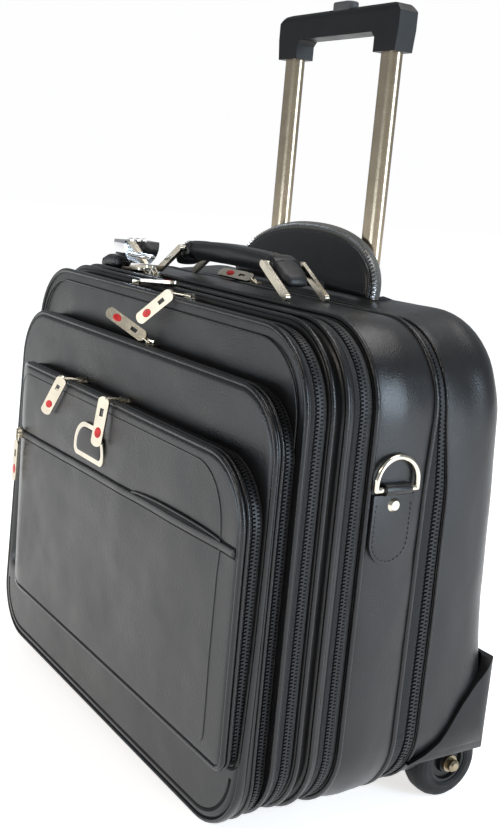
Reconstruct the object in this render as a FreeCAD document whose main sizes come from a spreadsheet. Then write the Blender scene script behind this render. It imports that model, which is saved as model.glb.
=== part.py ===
import FreeCAD, Part
import Sketcher
import math
import os

from FreeCAD import Placement, Rotation, Vector

# Rolling laptop case: soft leather-look shell in layers, a three-stage telescopic handle,
# skate-type wheels in moulded corner guards, and zips with sliders and pullers.
# Frame: +X to the right seen from the front, -Y the front face, +Z up, millimetres.
# The origin is on the floor, under the middle of the whole case.

doc = FreeCAD.newDocument("rolling_laptop_case")
sheet = doc.addObject("Spreadsheet::Sheet", "Sheet")

# Driving dimensions. "y_" values are positions from the frame's middle plane, front negative.
DIMENSIONS = {
    # outer loop shared by the case's layers
    "case_half_width": 215.0,
    "case_bottom": 16.0,
    "case_top": 360.0,
    "corner_top": 58.0,
    "corner_bottom": 58.0,
    "soft_wall": 4.0,
    "board": 3.0,
    "tape": 2.0,
    "seam_gap": 0.5,
    # planes of the layers, front to rear
    "y_small_front": -118.0,
    "y_small_rear": -101.0,
    "y_mid_front": -100.5,
    "y_mid_rear": -83.5,
    "y_panel_front": -83.0,
    "y_panel_rear": -79.0,
    "y_lid_front": -66.0,
    "y_lid_rear": -47.0,
    "y_gusset_front": -32.0,
    "y_gusset_rear": 20.0,
    "y_rear_front": 38.0,
    "y_back_low": 111.0,
    "y_back_high": 93.0,
    # pockets
    "small_half_width": 204.0,
    "small_bottom": 70.0,
    "small_top": 274.0,
    "small_corner": 45.0,
    "mid_half_width": 207.0,
    "mid_bottom": 17.0,
    "mid_top": 317.0,
    "mid_corner": 44.0,
    "panel_half_width": 212.0,
    "panel_top": 355.0,
    "slash_height": 211.0,
    # telescopic handle
    "tube_offset": 64.0,
    "y_tube": 72.0,
    "tube_width": 19.0,
    "tube_depth": 12.0,
    "tube_wall": 1.2,
    "tube_gap": 0.4,
    "inner_tube_low": 256.0,
    "inner_tube_high": 566.0,
    "middle_tube_low": 30.0,
    "middle_tube_high": 333.0,
    "outer_tube_low": 20.4,
    "outer_tube_high": 327.0,
    "grip_half_length": 79.0,
    "grip_top": 584.0,
    "grip_bar": 21.0,
    "grip_depth": 17.0,
    "sleeve_low": 548.0,
    "sleeve_width": 26.0,
    "well_half_width": 97.0,
    "well_floor": 331.0,
    "well_front": 60.5,
    "well_rear": 88.0,
    "well_wall": 1.5,
    # cover flap of the handle well
    "cover_half_width": 100.0,
    "cover_low": 366.5,
    "cover_height": 51.0,
    "cover_front": 49.5,
    "cover_thick": 2.0,
    "cover_wall": 2.0,
    "cover_lean": 11.0,
    # wheels and guards
    "wheel_radius": 29.3,
    "wheel_width": 23.0,
    "wheel_offset": 188.0,
    "y_wheel": 91.0,
    "hub_radius": 16.5,
    "axle_radius": 4.0,
    "running_gap": 0.06,
    "guard_wall": 4.0,
    "guard_top": 114.0,
    "guard_low": 44.5,
    "guard_corner": 18.0,
    # feet
    "foot_side": 25.0,
    "foot_offset": 110.0,
    "y_foot": -19.0,
    # carry handle
    "y_handle": -8.5,
    "ring_foot_offset": 96.0,
    "ring_bar_offset": 63.0,
    "ring_foot_height": 365.5,
    "ring_bar_height": 386.0,
    "ring_inside": 31.0,
    "ring_bar_radius": 2.5,
    "pad_width": 26.0,
    "pad_thick": 13.0,
    # shoulder strap D-rings
    "y_dring": -11.5,
    "dring_height": 257.0,
    "dring_wire": 2.0,
    "dring_radius": 17.0,
    "tab_thick": 3.2,
    "tab_drop": 52.0,
    # zip sliders and pullers
    "slider_length": 11.0,
    "slider_width": 9.0,
    "slider_height": 4.0,
    "puller_width": 9.0,
    "puller_thick": 2.2,
    # padlock on the main zip
    "lock_length": 33.0,
    "lock_height": 20.0,
    "lock_width": 20.0,
    "lock_x": -120.0,
    "lock_z": 366.6,
}

for row, (alias, number) in enumerate(DIMENSIONS.items(), start=1):
    sheet.set("A%d" % row, alias.replace("_", " "))
    sheet.set("B%d" % row, str(number))
    sheet.setAlias("B%d" % row, alias)
doc.recompute()


class Size:
    """A number together with the spreadsheet expression that gives it."""

    def __init__(self, number, text):
        self.number = number
        self.text = text

    @staticmethod
    def of(other):
        if isinstance(other, Size):
            return other
        return Size(float(other), "%g" % other)

    def __add__(self, other):
        other = Size.of(other)
        return Size(self.number + other.number, "(%s + %s)" % (self.text, other.text))

    def __sub__(self, other):
        other = Size.of(other)
        return Size(self.number - other.number, "(%s - %s)" % (self.text, other.text))

    def __mul__(self, other):
        other = Size.of(other)
        return Size(self.number * other.number, "(%s * %s)" % (self.text, other.text))

    def __truediv__(self, other):
        other = Size.of(other)
        return Size(self.number / other.number, "(%s / %s)" % (self.text, other.text))

    def __neg__(self):
        return Size(-self.number, "(0 - %s)" % self.text)


def dim(alias):
    return Size(float(sheet.get(alias)), "Sheet." + alias)


parts = []


def keep(obj, label):
    """Names a finished sub-part and lists it for export."""
    obj.Label = label
    parts.append(obj)
    return obj


def bind(obj, prop, size):
    size = Size.of(size)
    obj.setExpression(prop, size.text)


def place(obj, x, y, z):
    for axis, size in zip("xyz", (x, y, z)):
        bind(obj, "Placement.Base." + axis, size)


def new_body(name, x=0, y=0, z=0):
    body = doc.addObject("PartDesign::Body", name)
    place(body, x, y, z)
    return body


def new_sketch(body, plane):
    origin = [f for f in body.Origin.OriginFeatures if f.Role == plane][0]
    sketch = body.newObject("Sketcher::SketchObject", body.Name + "_sketch")
    sketch.AttachmentSupport = [(origin, "")]
    sketch.MapMode = "FlatFace"
    return sketch


def hold(sketch, kind, refs, size):
    """Adds a driven dimension to a sketch, signed so that its value is positive."""
    index = sketch.addConstraint(Sketcher.Constraint(kind, *refs, abs(size.number)))
    text = size.text if size.number >= 0 else (-size).text
    sketch.setExpression("Constraints[%d]" % index, text)


def relate(sketch, kind, *refs):
    sketch.addConstraint(Sketcher.Constraint(kind, *refs))


def hold_point(sketch, geo, pos, x, y):
    """Ties a point of a sketch to sizes measured from the sketch's origin."""
    x = Size.of(x)
    y = Size.of(y)
    for kind, size, axis in (("DistanceX", x, -2), ("DistanceY", y, -1)):
        if abs(size.number) < 1e-9:
            relate(sketch, "PointOnObject", geo, pos, axis)
        elif size.number > 0:
            hold(sketch, kind, (-1, 1, geo, pos), size)
        else:
            hold(sketch, kind, (geo, pos, -1, 1), size)


def rounded_rectangle(sketch, half, low, high, r_high, r_low):
    """Loop symmetric about the sketch's upright axis, with its own top and bottom corners."""
    first = sketch.GeometryCount
    w, z0, z1 = half.number, low.number, high.number
    rt, rb = r_high.number, r_low.number
    up = Vector(0, 0, 1)
    corners = [
        (w - rb, z0 + rb, rb, -90, 0),
        (w - rt, z1 - rt, rt, 0, 90),
        (-w + rt, z1 - rt, rt, 90, 180),
        (-w + rb, z0 + rb, rb, 180, 270),
    ]
    sides = [
        ((-w + rb, z0), (w - rb, z0)),
        ((w, z0 + rb), (w, z1 - rt)),
        ((w - rt, z1), (-w + rt, z1)),
        ((-w, z1 - rt), (-w, z0 + rb)),
    ]
    for (a, b), (cx, cy, r, start, end) in zip(sides, corners):
        sketch.addGeometry(Part.LineSegment(Vector(*a, 0), Vector(*b, 0)))
        circle = Part.Circle(Vector(cx, cy, 0), up, r)
        sketch.addGeometry(Part.ArcOfCircle(circle, math.radians(start), math.radians(end)))
    for k in range(8):
        relate(sketch, "Tangent", first + k, 2, first + (k + 1) % 8, 1)
    relate(sketch, "Horizontal", first)
    relate(sketch, "Vertical", first + 2)
    relate(sketch, "Horizontal", first + 4)
    relate(sketch, "Vertical", first + 6)
    for arc, radius in ((1, r_low), (3, r_high), (5, r_high), (7, r_low)):
        hold(sketch, "Radius", (first + arc,), radius)
    hold(sketch, "DistanceX", (-1, 1, first + 2, 1), half)
    hold(sketch, "DistanceX", (first + 6, 1, -1, 1), half)
    hold(sketch, "DistanceY", (-1, 1, first, 1), low)
    hold(sketch, "DistanceY", (-1, 1, first + 4, 1), high)


def polygon(sketch, points):
    """Closed outline of straight runs, every corner tied to its sizes."""
    first = sketch.GeometryCount
    points = [(Size.of(x), Size.of(y)) for x, y in points]
    count = len(points)
    for k in range(count):
        a, b = points[k], points[(k + 1) % count]
        start = Vector(a[0].number, a[1].number, 0)
        end = Vector(b[0].number, b[1].number, 0)
        sketch.addGeometry(Part.LineSegment(start, end))
    for k in range(count):
        relate(sketch, "Coincident", first + k, 2, first + (k + 1) % count, 1)
    for k, (x, y) in enumerate(points):
        hold_point(sketch, first + k, 1, x, y)


def slot(sketch, half_length, radius, x=0, y=0):
    """Flat oval along the sketch's first axis: two half rounds joined by straight sides."""
    first = sketch.GeometryCount
    x, y = Size.of(x), Size.of(y)
    run = half_length - radius
    a, r = run.number, radius.number
    cx, cy = x.number, y.number
    up = Vector(0, 0, 1)
    sketch.addGeometry(Part.LineSegment(Vector(cx - a, cy - r, 0), Vector(cx + a, cy - r, 0)))
    right = Part.Circle(Vector(cx + a, cy, 0), up, r)
    sketch.addGeometry(Part.ArcOfCircle(right, -math.pi / 2, math.pi / 2))
    sketch.addGeometry(Part.LineSegment(Vector(cx + a, cy + r, 0), Vector(cx - a, cy + r, 0)))
    left = Part.Circle(Vector(cx - a, cy, 0), up, r)
    sketch.addGeometry(Part.ArcOfCircle(left, math.pi / 2, 3 * math.pi / 2))
    for k in range(4):
        relate(sketch, "Tangent", first + k, 2, first + (k + 1) % 4, 1)
    hold(sketch, "Radius", (first + 1,), radius)
    hold_point(sketch, first + 1, 3, x + run, y)
    hold_point(sketch, first + 3, 3, x - run, y)


def pad(body, sketch, length, backwards=False):
    feature = body.newObject("PartDesign::Pad", body.Name + "_pad")
    feature.Profile = sketch
    feature.Reversed = backwards
    bind(feature, "Length", length)
    sketch.Visibility = False
    return feature


def revolve(body, sketch, axis="H_Axis"):
    feature = body.newObject("PartDesign::Revolution", body.Name + "_turn")
    feature.Profile = sketch
    feature.ReferenceAxis = (sketch, [axis])
    feature.Angle = 360.0
    return feature


def round_edges(body, radius, wanted):
    """Fillets the edges of the body's tip that the test function picks."""
    doc.recompute()
    base = body.Tip
    names = ["Edge%d" % (k + 1) for k, edge in enumerate(base.Shape.Edges) if wanted(edge)]
    feature = body.newObject("PartDesign::Fillet", body.Name + "_round")
    feature.Base = (base, names)
    feature.Radius = radius
    return feature


def box(name, low, high):
    obj = doc.addObject("Part::Box", name)
    low = [Size.of(v) for v in low]
    high = [Size.of(v) for v in high]
    for prop, a, b in zip(("Length", "Width", "Height"), low, high):
        bind(obj, prop, b - a)
    place(obj, *low)
    return obj


def cylinder(name, centre, radius, height, direction):
    obj = doc.addObject("Part::Cylinder", name)
    bind(obj, "Radius", radius)
    bind(obj, "Height", height)
    obj.Placement = Placement(Vector(0, 0, 0), Rotation(Vector(0, 0, 1), Vector(*direction)))
    place(obj, *centre)
    return obj


def cut(name, base, *tools):
    for tool in tools:
        obj = doc.addObject("Part::Cut", name)
        obj.Base = base
        obj.Tool = tool
        base = obj
    return base


def fuse(name, *shapes):
    obj = doc.addObject("Part::MultiFuse", name)
    obj.Shapes = list(shapes)
    obj.Refine = True
    return obj


def common(name, *shapes):
    obj = doc.addObject("Part::MultiCommon", name)
    obj.Shapes = list(shapes)
    return obj


# ---------------------------------------------------------------- rings and trays

half = dim("case_half_width")
bottom = dim("case_bottom")
top = dim("case_top")
r_top = dim("corner_top")
r_bottom = dim("corner_bottom")
wall = dim("soft_wall")
board = dim("board")
tape = dim("tape")
gap = dim("seam_gap")


def loop_of(sketch, inset, half_width, low, high, r_high, r_low):
    """A layer's loop, moved inwards by an inset all round."""
    rounded_rectangle(
        sketch,
        half_width - inset,
        low + inset,
        high - inset,
        r_high - inset,
        r_low - inset,
    )


def ring(body, y_front_offset, depth, outline, inset, thickness, backwards=True):
    """Hollow frame along the loop; it runs rearwards from the body's front plane."""
    sketch = new_sketch(body, "XZ_Plane")
    if y_front_offset is not None:
        bind(sketch, "AttachmentOffset.Base.z", -y_front_offset)
    loop_of(sketch, Size.of(inset), *outline)
    loop_of(sketch, Size.of(inset) + thickness, *outline)
    pad(body, sketch, depth, backwards)


def plate(body, y_front_offset, depth, outline, inset=0, backwards=True):
    sketch = new_sketch(body, "XZ_Plane")
    if y_front_offset is not None:
        bind(sketch, "AttachmentOffset.Base.z", -y_front_offset)
    loop_of(sketch, Size.of(inset), *outline)
    pad(body, sketch, depth, backwards)


case_loop = (half, bottom, top, r_top, r_bottom)
panel_loop = (dim("panel_half_width"), bottom + 1, dim("panel_top"), r_top - 3, r_bottom - 3)
mid_loop = (
    dim("mid_half_width"),
    dim("mid_bottom"),
    dim("mid_top"),
    dim("mid_corner"),
    dim("mid_corner"),
)
small_loop = (
    dim("small_half_width"),
    dim("small_bottom"),
    dim("small_top"),
    dim("small_corner"),
    dim("small_corner") / 3,
)


def make_main_gusset():
    front = dim("y_gusset_front")
    body = new_body("main_gusset", y=front)
    ring(body, None, dim("y_gusset_rear") - front, case_loop, -1.5, wall + 1)
    keep(body, "main_gusset")


def make_zip_tape(name, front, rear, outline, inset):
    body = new_body(name, y=front + gap)
    ring(body, None, rear - front - gap * 2, outline, inset, tape)
    keep(body, name)


def make_front_lid():
    """Front lid of the main compartment: a board with a rim to each side and a sunken neck."""
    front = dim("y_lid_front")
    body = new_body("front_lid", y=front)
    ring(body, None, Size.of(4), case_loop, 2, Size.of(9))
    ring(body, Size.of(3.5), Size.of(6), case_loop, 8, Size.of(3))
    plate(body, Size.of(6), board, case_loop, inset=9)
    ring(body, Size.of(8.5), dim("y_lid_rear") - front - 8.5, case_loop, 0, Size.of(10))
    doc.recompute()
    keep(body, "front_lid")


def make_tray(name, front, rear, outline, face):
    """A pocket or panel: a front wall with a short rim that runs back to its zip."""
    body = new_body(name, y=front)
    plate(body, None, face, outline)
    ring(body, face, rear - front - face, outline, 0, wall)
    keep(body, name)


# ---------------------------------------------------------------- rear section

def side_profile(sketch, grow):
    """Side outline of the rear section, first axis rearwards; the back leans out downwards."""
    front = dim("y_rear_front")
    low = dim("y_back_low")
    high = dim("y_back_high")
    polygon(
        sketch,
        [
            (front, bottom - grow),
            (low - 15, bottom - grow),
            (low - 5 + grow * 0.6, bottom + 4 - grow * 0.6),
            (low + grow, bottom + 14),
            (high + grow, top - 32),
            (high - 4 + grow * 0.8, top - 10),
            (high - 14 + grow * 0.5, top + 3 + grow * 0.8),
            (high - 30, top + 7 + grow),
            (front, top + 2 + grow),
        ],
    )


def rear_volume(name, grow, corner=Size.of(30)):
    """Closed outer volume of the rear section, grown outwards all round."""
    side = new_body(name + "_side")
    sketch = new_sketch(side, "YZ_Plane")
    side_profile(sketch, grow)
    feature = pad(side, sketch, (half + 10) * 2)
    feature.Midplane = True
    face = new_body(name + "_face", y=150)
    sketch = new_sketch(face, "XZ_Plane")
    high = top + 8 + grow
    rounded_rectangle(sketch, half + grow, bottom - grow, high, r_top + 8 + grow, r_bottom + grow)
    pad(face, sketch, Size.of(150) - dim("y_rear_front"))
    plan = new_body(name + "_plan")
    sketch = new_sketch(plan, "XY_Plane")
    rear = dim("y_back_low")
    rounded_rectangle(sketch, half + grow, Size.of(1), rear + grow, corner + grow, Size.of(0.5))
    pad(plan, sketch, Size.of(400))
    return common(name, side, face, plan)


def make_rear_shell():
    grow = Size.of(0)
    outer = rear_volume("rear_outer", grow)
    inner = rear_volume("rear_inner", -wall)
    front = dim("y_rear_front")
    well = box(
        "rear_well_room",
        (-dim("well_half_width") - 0.2, dim("well_front") - dim("well_wall") - 0.2, dim("outer_tube_high")),
        (dim("well_half_width") + 0.2, dim("well_rear") + dim("well_wall") + 0.2, top + 30),
    )
    rooms = [well]
    inner_wall = half - wall - 0.2
    high = dim("wheel_radius") * 2 + 4.5
    for side in (-1, 1):
        near = dim("wheel_offset") - 21
        spans = ((near, inner_wall, high), (inner_wall - 5, half + 30, dim("guard_low")))
        for low_x, high_x, level in spans:
            ends = (low_x, high_x) if side > 0 else (-high_x, -low_x)
            rooms.append(
                box(
                    "rear_wheel_room",
                    (ends[0], dim("y_wheel") - 34, Size.of(0)),
                    (ends[1], dim("y_wheel") + 60, level),
                )
            )
    shell = cut("rear_shell_hollow", outer, inner, *rooms)
    slab = box("rear_front_cut", (-half - 30, front - 20, Size.of(0)), (half + 30, front + 0.2, top + 40))
    keep(cut("rear_shell", shell, slab), "rear_shell")


def make_corner_guard(name, side):
    """Moulded guard that wraps a lower rear corner and forms the wheel's housing."""
    thick = dim("guard_wall")
    outer = rear_volume(name + "_outer", thick, dim("guard_corner"))
    inner = rear_volume(name + "_inner", Size.of(0.15))
    wedge = new_body(name + "_wedge", x=Size.of(150 * side) if side > 0 else Size.of(-230))
    sketch = new_sketch(wedge, "YZ_Plane")
    high = dim("guard_top")
    polygon(
        sketch,
        [
            (Size.of(28), Size.of(10)),
            (Size.of(125), Size.of(10)),
            (Size.of(125), high + 5),
            (Size.of(104), high + 3),
            (Size.of(88), high - 12),
            (Size.of(77), high - 26),
            (Size.of(68), high - 40),
            (Size.of(60), high - 53),
            (Size.of(50), high - 62),
            (Size.of(39), high - 68),
            (Size.of(28), high - 72),
        ],
    )
    pad(wedge, sketch, Size.of(80))
    skin = common(name + "_skin", cut(name + "_sheet", outer, inner), wedge)
    centre = dim("wheel_offset") * side
    reach = dim("wheel_radius") * 2 + 4
    near, far = (centre - 20.5, centre + 22) if side > 0 else (centre - 22, centre + 20.5)
    y_front = dim("y_wheel") - 33.5
    housing = box(name + "_housing", (near, y_front, Size.of(12)), (far, dim("y_back_low") + 8, reach))
    housing = common(name + "_block", housing, rear_volume(name + "_trim", thick, dim("guard_corner")))
    inside = centre - 15.5 if side > 0 else centre - 21.5
    room = box(
        name + "_room",
        (inside, y_front + 2.5, Size.of(-5)),
        (inside + 37, dim("y_wheel") + 60, reach - 2.5),
    )
    shell = cut(name + "_shell", fuse(name + "_blank", skin, housing), room)
    edge = (centre - 12, centre + 60) if side > 0 else (centre - 60, centre + 12)
    low_cut = box(name + "_low", (edge[0], Size.of(0), Size.of(0)), (edge[1], Size.of(150), dim("guard_low")))
    bore = cylinder(
        name + "_bore",
        (centre - 40, dim("y_wheel"), dim("wheel_radius")),
        dim("axle_radius") + 0.02,
        Size.of(80),
        (1, 0, 0),
    )
    keep(cut(name + "_done", shell, low_cut, bore), name)


# ---------------------------------------------------------------- wheels

def make_wheel(side_name, side):
    x = dim("wheel_offset") * side
    y = dim("y_wheel")
    radius = dim("wheel_radius")
    half_width = dim("wheel_width") / 2
    hub = dim("hub_radius")
    tyre = new_body("tyre_" + side_name, x, y, radius)
    sketch = new_sketch(tyre, "XY_Plane")
    polygon(
        sketch,
        [
            (-half_width + 1.5, hub),
            (half_width - 1.5, hub),
            (half_width, hub + 2),
            (half_width, radius - 7),
            (half_width - 1.2, radius - 4),
            (half_width - 3.6, radius - 1.6),
            (half_width - 7, radius - 0.3),
            (Size.of(0), radius),
            (-half_width + 7, radius - 0.3),
            (-half_width + 3.6, radius - 1.6),
            (-half_width + 1.2, radius - 4),
            (-half_width, radius - 7),
            (-half_width, hub + 2),
        ],
    )
    revolve(tyre, sketch)
    keep(tyre, "tyre_" + side_name)

    bore = dim("axle_radius") + dim("running_gap")
    core = new_body("wheel_hub_" + side_name, x, y, radius)
    sketch = new_sketch(core, "XY_Plane")
    polygon(
        sketch,
        [
            (-half_width + 1, bore),
            (half_width - 1, bore),
            (half_width - 1, bore + 4),
            (half_width - 4.5, bore + 5),
            (half_width - 4.5, hub - 3.5),
            (half_width - 2, hub - 2.5),
            (half_width - 2, hub),
            (-half_width + 2, hub),
            (-half_width + 2, hub - 2.5),
            (-half_width + 4.5, hub - 3.5),
            (-half_width + 4.5, bore + 5),
            (-half_width + 1, bore + 4),
        ],
    )
    revolve(core, sketch)
    keep(core, "wheel_hub_" + side_name)


def make_wheel_axles():
    """Stepped pins: a flanged head inside the housing and a domed cap outside the hub."""
    solids = []
    for side in (-1, 1):
        axle = new_body("axle_%s" % ("right" if side > 0 else "left"))
        place(axle, dim("wheel_offset") * side, dim("y_wheel"), dim("wheel_radius"))
        sketch = new_sketch(axle, "XY_Plane")
        end = dim("wheel_width") / 2
        radius = dim("axle_radius")
        points = [
            (-end - 11, Size.of(0)),
            (-end - 11, radius + 3),
            (-end - 9.2, radius + 3),
            (-end - 9.2, radius),
            (end - 0.6, radius),
            (end - 0.6, radius + 2.5),
            (end + 1.4, radius + 2.5),
            (end + 1.4, radius + 0.6),
            (end + 5.4, radius + 0.6),
            (end + 7.2, radius - 1),
            (end + 7.8, Size.of(0)),
        ]
        if side < 0:
            points = [(-x, r) for x, r in reversed(points)]
        polygon(sketch, points)
        revolve(axle, sketch)
        solids.append(axle)
    group = doc.addObject("Part::Compound", "wheel_axles")
    group.Links = solids
    keep(group, "wheel_axles")


def make_front_feet():
    solids = []
    for side in (-1, 1):
        foot = doc.addObject("Part::Cone", "foot")
        bind(foot, "Radius1", dim("foot_side") / 2 - 2)
        bind(foot, "Radius2", dim("foot_side") / 2)
        bind(foot, "Height", bottom - 1.7)
        place(foot, dim("foot_offset") * side, dim("y_foot"), Size.of(0))
        solids.append(foot)
    group = doc.addObject("Part::Compound", "front_feet")
    group.Links = solids
    keep(group, "front_feet")


# ---------------------------------------------------------------- telescopic handle

def oval_tube(name, x, width, depth, thickness, low, high):
    body = new_body(name, x, dim("y_tube"), low)
    sketch = new_sketch(body, "XY_Plane")
    slot(sketch, width / 2, depth / 2)
    slot(sketch, width / 2 - thickness, depth / 2 - thickness)
    pad(body, sketch, high - low)
    keep(body, name)


def make_tubes():
    width, depth = dim("tube_width"), dim("tube_depth")
    thin, space = dim("tube_wall"), dim("tube_gap")
    step = (thin + space) * 2
    for side_name, side in (("left", -1), ("right", 1)):
        x = dim("tube_offset") * side
        oval_tube("inner_tube_" + side_name, x, width, depth, thin, dim("inner_tube_low"), dim("inner_tube_high"))
        oval_tube(
            "middle_tube_" + side_name,
            x,
            width + step,
            depth + step,
            thin,
            dim("middle_tube_low"),
            dim("middle_tube_high"),
        )
        oval_tube(
            "outer_tube_" + side_name,
            x,
            width + step * 2,
            depth + step * 2,
            thin,
            dim("outer_tube_low"),
            dim("outer_tube_high"),
        )


def make_grip():
    """Top grip: a bar with a raised middle and a sleeve down over each tube."""
    y = dim("y_tube")
    length = dim("grip_half_length")
    high = dim("grip_top")
    low = high - dim("grip_bar")
    body = new_body("grip_bar_body", y=y + dim("grip_depth") / 2)
    sketch = new_sketch(body, "XZ_Plane")
    sleeve_in = dim("tube_offset") - dim("sleeve_width") / 2
    sleeve_out = dim("tube_offset") + dim("sleeve_width") / 2
    foot = dim("sleeve_low")
    right = [
        (Size.of(0), low),
        (sleeve_in - 4, low),
        (sleeve_in, low - 4),
        (sleeve_in, foot),
        (sleeve_out, foot),
        (length, foot + 16),
        (length, high - 7),
        (length - 6, high - 1.5),
        (length - 14, high),
    ]
    left = [(-a, b) for a, b in reversed(right[1:])]
    polygon(sketch, right + left)
    pad(body, sketch, dim("grip_depth"))

    side = new_body("grip_side", y=y)
    sketch = new_sketch(side, "YZ_Plane")
    corner = Size.of(6.5)
    rounded_rectangle(sketch, dim("grip_depth") / 2, foot - 8, high, corner, Size.of(2))
    feature = pad(side, sketch, length * 2 + 10)
    feature.Midplane = True
    blank = common("grip_blank", body, side)

    rooms = []
    for side in (-1, 1):
        room = new_body("sleeve_room", dim("tube_offset") * side, y, foot - 1)
        sketch = new_sketch(room, "XY_Plane")
        slot(sketch, dim("tube_width") / 2 + 0.05, dim("tube_depth") / 2 + 0.05)
        pad(room, sketch, dim("inner_tube_high") - foot + 1.1)
        rooms.append(room)
    pocket_room = box("button_room", (Size.of(-13), y - 6.5, high - 11), (Size.of(13), y + 6.5, high + 5))
    keep(cut("grip_drilled", blank, pocket_room, *rooms), "grip")

    button = new_body("release_button", y=y, z=high - 7)
    sketch = new_sketch(button, "XY_Plane")
    slot(sketch, Size.of(12.6), Size.of(6.1))
    pad(button, sketch, Size.of(12.5))
    button_top = 12.5

    def top_edges(edge):
        return edge.BoundBox.ZMin > button_top - 0.5
    round_edges(button, 1.5, top_edges)
    keep(button, "release_button")


def make_handle_well():
    """Open-topped liner in the case top that the grip sinks into; the tubes pass its floor."""
    w = dim("well_half_width")
    front, rear = dim("well_front"), dim("well_rear")
    thin = dim("well_wall")
    floor = dim("well_floor")
    tray = box("well_block", (-w, front - thin, floor - 3.5), (w, rear + thin, top + 12))
    inside = box("well_inside", (-w + thin, front, floor), (w - thin, rear, top + 20))
    step = (dim("tube_wall") + dim("tube_gap")) * 2
    rooms = [inside]
    for side in (-1, 1):
        hole = new_body("well_hole", dim("tube_offset") * side, dim("y_tube"), floor - 10)
        sketch = new_sketch(hole, "XY_Plane")
        slot(sketch, dim("tube_width") / 2 + step / 2 + 0.3, dim("tube_depth") / 2 + step / 2 + 0.3)
        pad(hole, sketch, Size.of(20))
        rooms.append(hole)
    tray = cut("well_tray", tray, *rooms)
    lid = new_body("well_trim")
    sketch = new_sketch(lid, "YZ_Plane")
    side_profile(sketch, Size.of(1.2))
    feature = pad(lid, sketch, w * 2 + 10)
    feature.Midplane = True
    keep(common("handle_well", tray, lid), "handle_well")


def arch_outline(width, height):
    """Arch standing on its straight side, a little squarer than an ellipse."""
    steps = 14
    points = [(-width, Size.of(0)), (width, Size.of(0))]
    for k in range(1, steps):
        turn = math.pi * k / steps
        across = math.copysign(abs(math.cos(turn)) ** 0.9, math.cos(turn))
        points.append((width * across, height * math.sin(turn) ** 0.9))
    return points


def make_handle_cover():
    """Arched cover of the handle well, hinged in front of it and leaning back to the tubes."""
    width = dim("cover_half_width")
    height = dim("cover_height")
    rim = dim("cover_wall")
    lean = Rotation(Vector(1, 0, 0), -dim("cover_lean").number)
    panel = new_body("handle_cover")
    sketch = new_sketch(panel, "XZ_Plane")
    polygon(sketch, arch_outline(width, height))
    pad(panel, sketch, dim("cover_thick"), backwards=True)
    wall_body = new_body("handle_cover_zip")
    sketch = new_sketch(wall_body, "XZ_Plane")
    bind(sketch, "AttachmentOffset.Base.z", -dim("cover_thick"))
    polygon(sketch, arch_outline(width - 1, height - 1))
    polygon(sketch, [(x, z + 0.5) for x, z in arch_outline(width - 4, height - 4.5)])
    pad(wall_body, sketch, rim, backwards=True)
    for body in (panel, wall_body):
        body.Placement = Placement(Vector(0, 0, 0), lean)
        place(body, Size.of(0), dim("cover_front"), dim("cover_low"))
        keep(body, body.Name)


# ---------------------------------------------------------------- carry handle

def make_handle_ring(side_name, side):
    """Metal bracket: two flat legs that lean inwards to a round bar inside the pad's end."""
    foot_x, bar_x = dim("ring_foot_offset"), dim("ring_bar_offset")
    foot_z, bar_z = dim("ring_foot_height"), dim("ring_bar_height")
    run = foot_x.number - bar_x.number
    rise = bar_z.number - foot_z.number
    length = math.hypot(run, rise)
    inside = dim("ring_inside")
    solids = []
    y_mid = dim("y_handle").number
    for end in (-1, 1):
        leg = Part.makeBox(length, 3.6, 5.4, Vector(0, -1.8, -2.7))
        leg = leg.fuse(Part.makeCylinder(2.7, 3.6, Vector(0, -1.8, 0), Vector(0, 1, 0)))
        leg = leg.fuse(Part.makeCylinder(2.7, 3.6, Vector(length, -1.8, 0), Vector(0, 1, 0)))
        leg.translate(Vector(0, end * (inside.number / 2 + 1.8), 0))
        solids.append(leg)
    reach = inside.number + 0.2
    radius = dim("ring_bar_radius").number
    solids.append(Part.makeCylinder(radius, reach, Vector(length, -reach / 2, 0), Vector(0, 1, 0)))
    shape = solids[0].multiFuse(solids[1:]).removeSplitter()
    if side > 0:
        shape = shape.mirror(Vector(0, 0, 0), Vector(1, 0, 0))
    obj = doc.addObject("Part::Feature", "handle_ring_" + side_name)
    obj.Shape = shape
    lean = math.degrees(math.atan2(rise, run))
    turn = Rotation(Vector(0, 1, 0), lean * side)
    obj.Placement = Placement(Vector(foot_x.number * side, y_mid, foot_z.number), turn)
    keep(obj, "handle_ring_" + side_name)


def make_carry_pad():
    """Padded grip, arched over its length, with a slot near each end for the bracket's bar."""
    bar_x, bar_z = dim("ring_bar_offset").number, dim("ring_bar_height").number
    thick = dim("pad_thick").number
    high = bar_z + 7.5
    top_line = [(-86, high - 20), (-76, high - 8), (-58, high - 2.2), (-30, high - 0.4), (0, high)]
    top_line += [(-a, b) for a, b in reversed(top_line[:-1])]
    low_line = [(80, high - 22), (70, high - 17), (54, high - thick - 1), (0, high - thick + 1)]
    low_line += [(-a, b) for a, b in reversed(low_line[:-1])]
    upper = Part.BSplineCurve()
    upper.interpolate([Vector(a, 0, b) for a, b in top_line])
    lower = Part.BSplineCurve()
    lower.interpolate([Vector(a, 0, b) for a, b in low_line])
    ends = [
        Part.LineSegment(Vector(*_xz(top_line[-1])), Vector(*_xz(low_line[0]))),
        Part.LineSegment(Vector(*_xz(low_line[-1])), Vector(*_xz(top_line[0]))),
    ]
    wire = Part.Wire([upper.toShape(), ends[0].toShape(), lower.toShape(), ends[1].toShape()])
    width = dim("pad_width").number
    shape = Part.Face(wire).extrude(Vector(0, width, 0))
    for side in (-1, 1):
        slot_box = Part.makeBox(13, width + 2, 7, Vector(side * bar_x - 6.5, -1, bar_z - 3.5))
        shape = shape.cut(slot_box)
    obj = doc.addObject("Part::Feature", "carry_handle_pad")
    obj.Shape = shape
    obj.Placement = Placement(Vector(0, dim("y_handle").number - width / 2, 0), Rotation())
    keep(obj, "carry_handle_pad")


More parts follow.
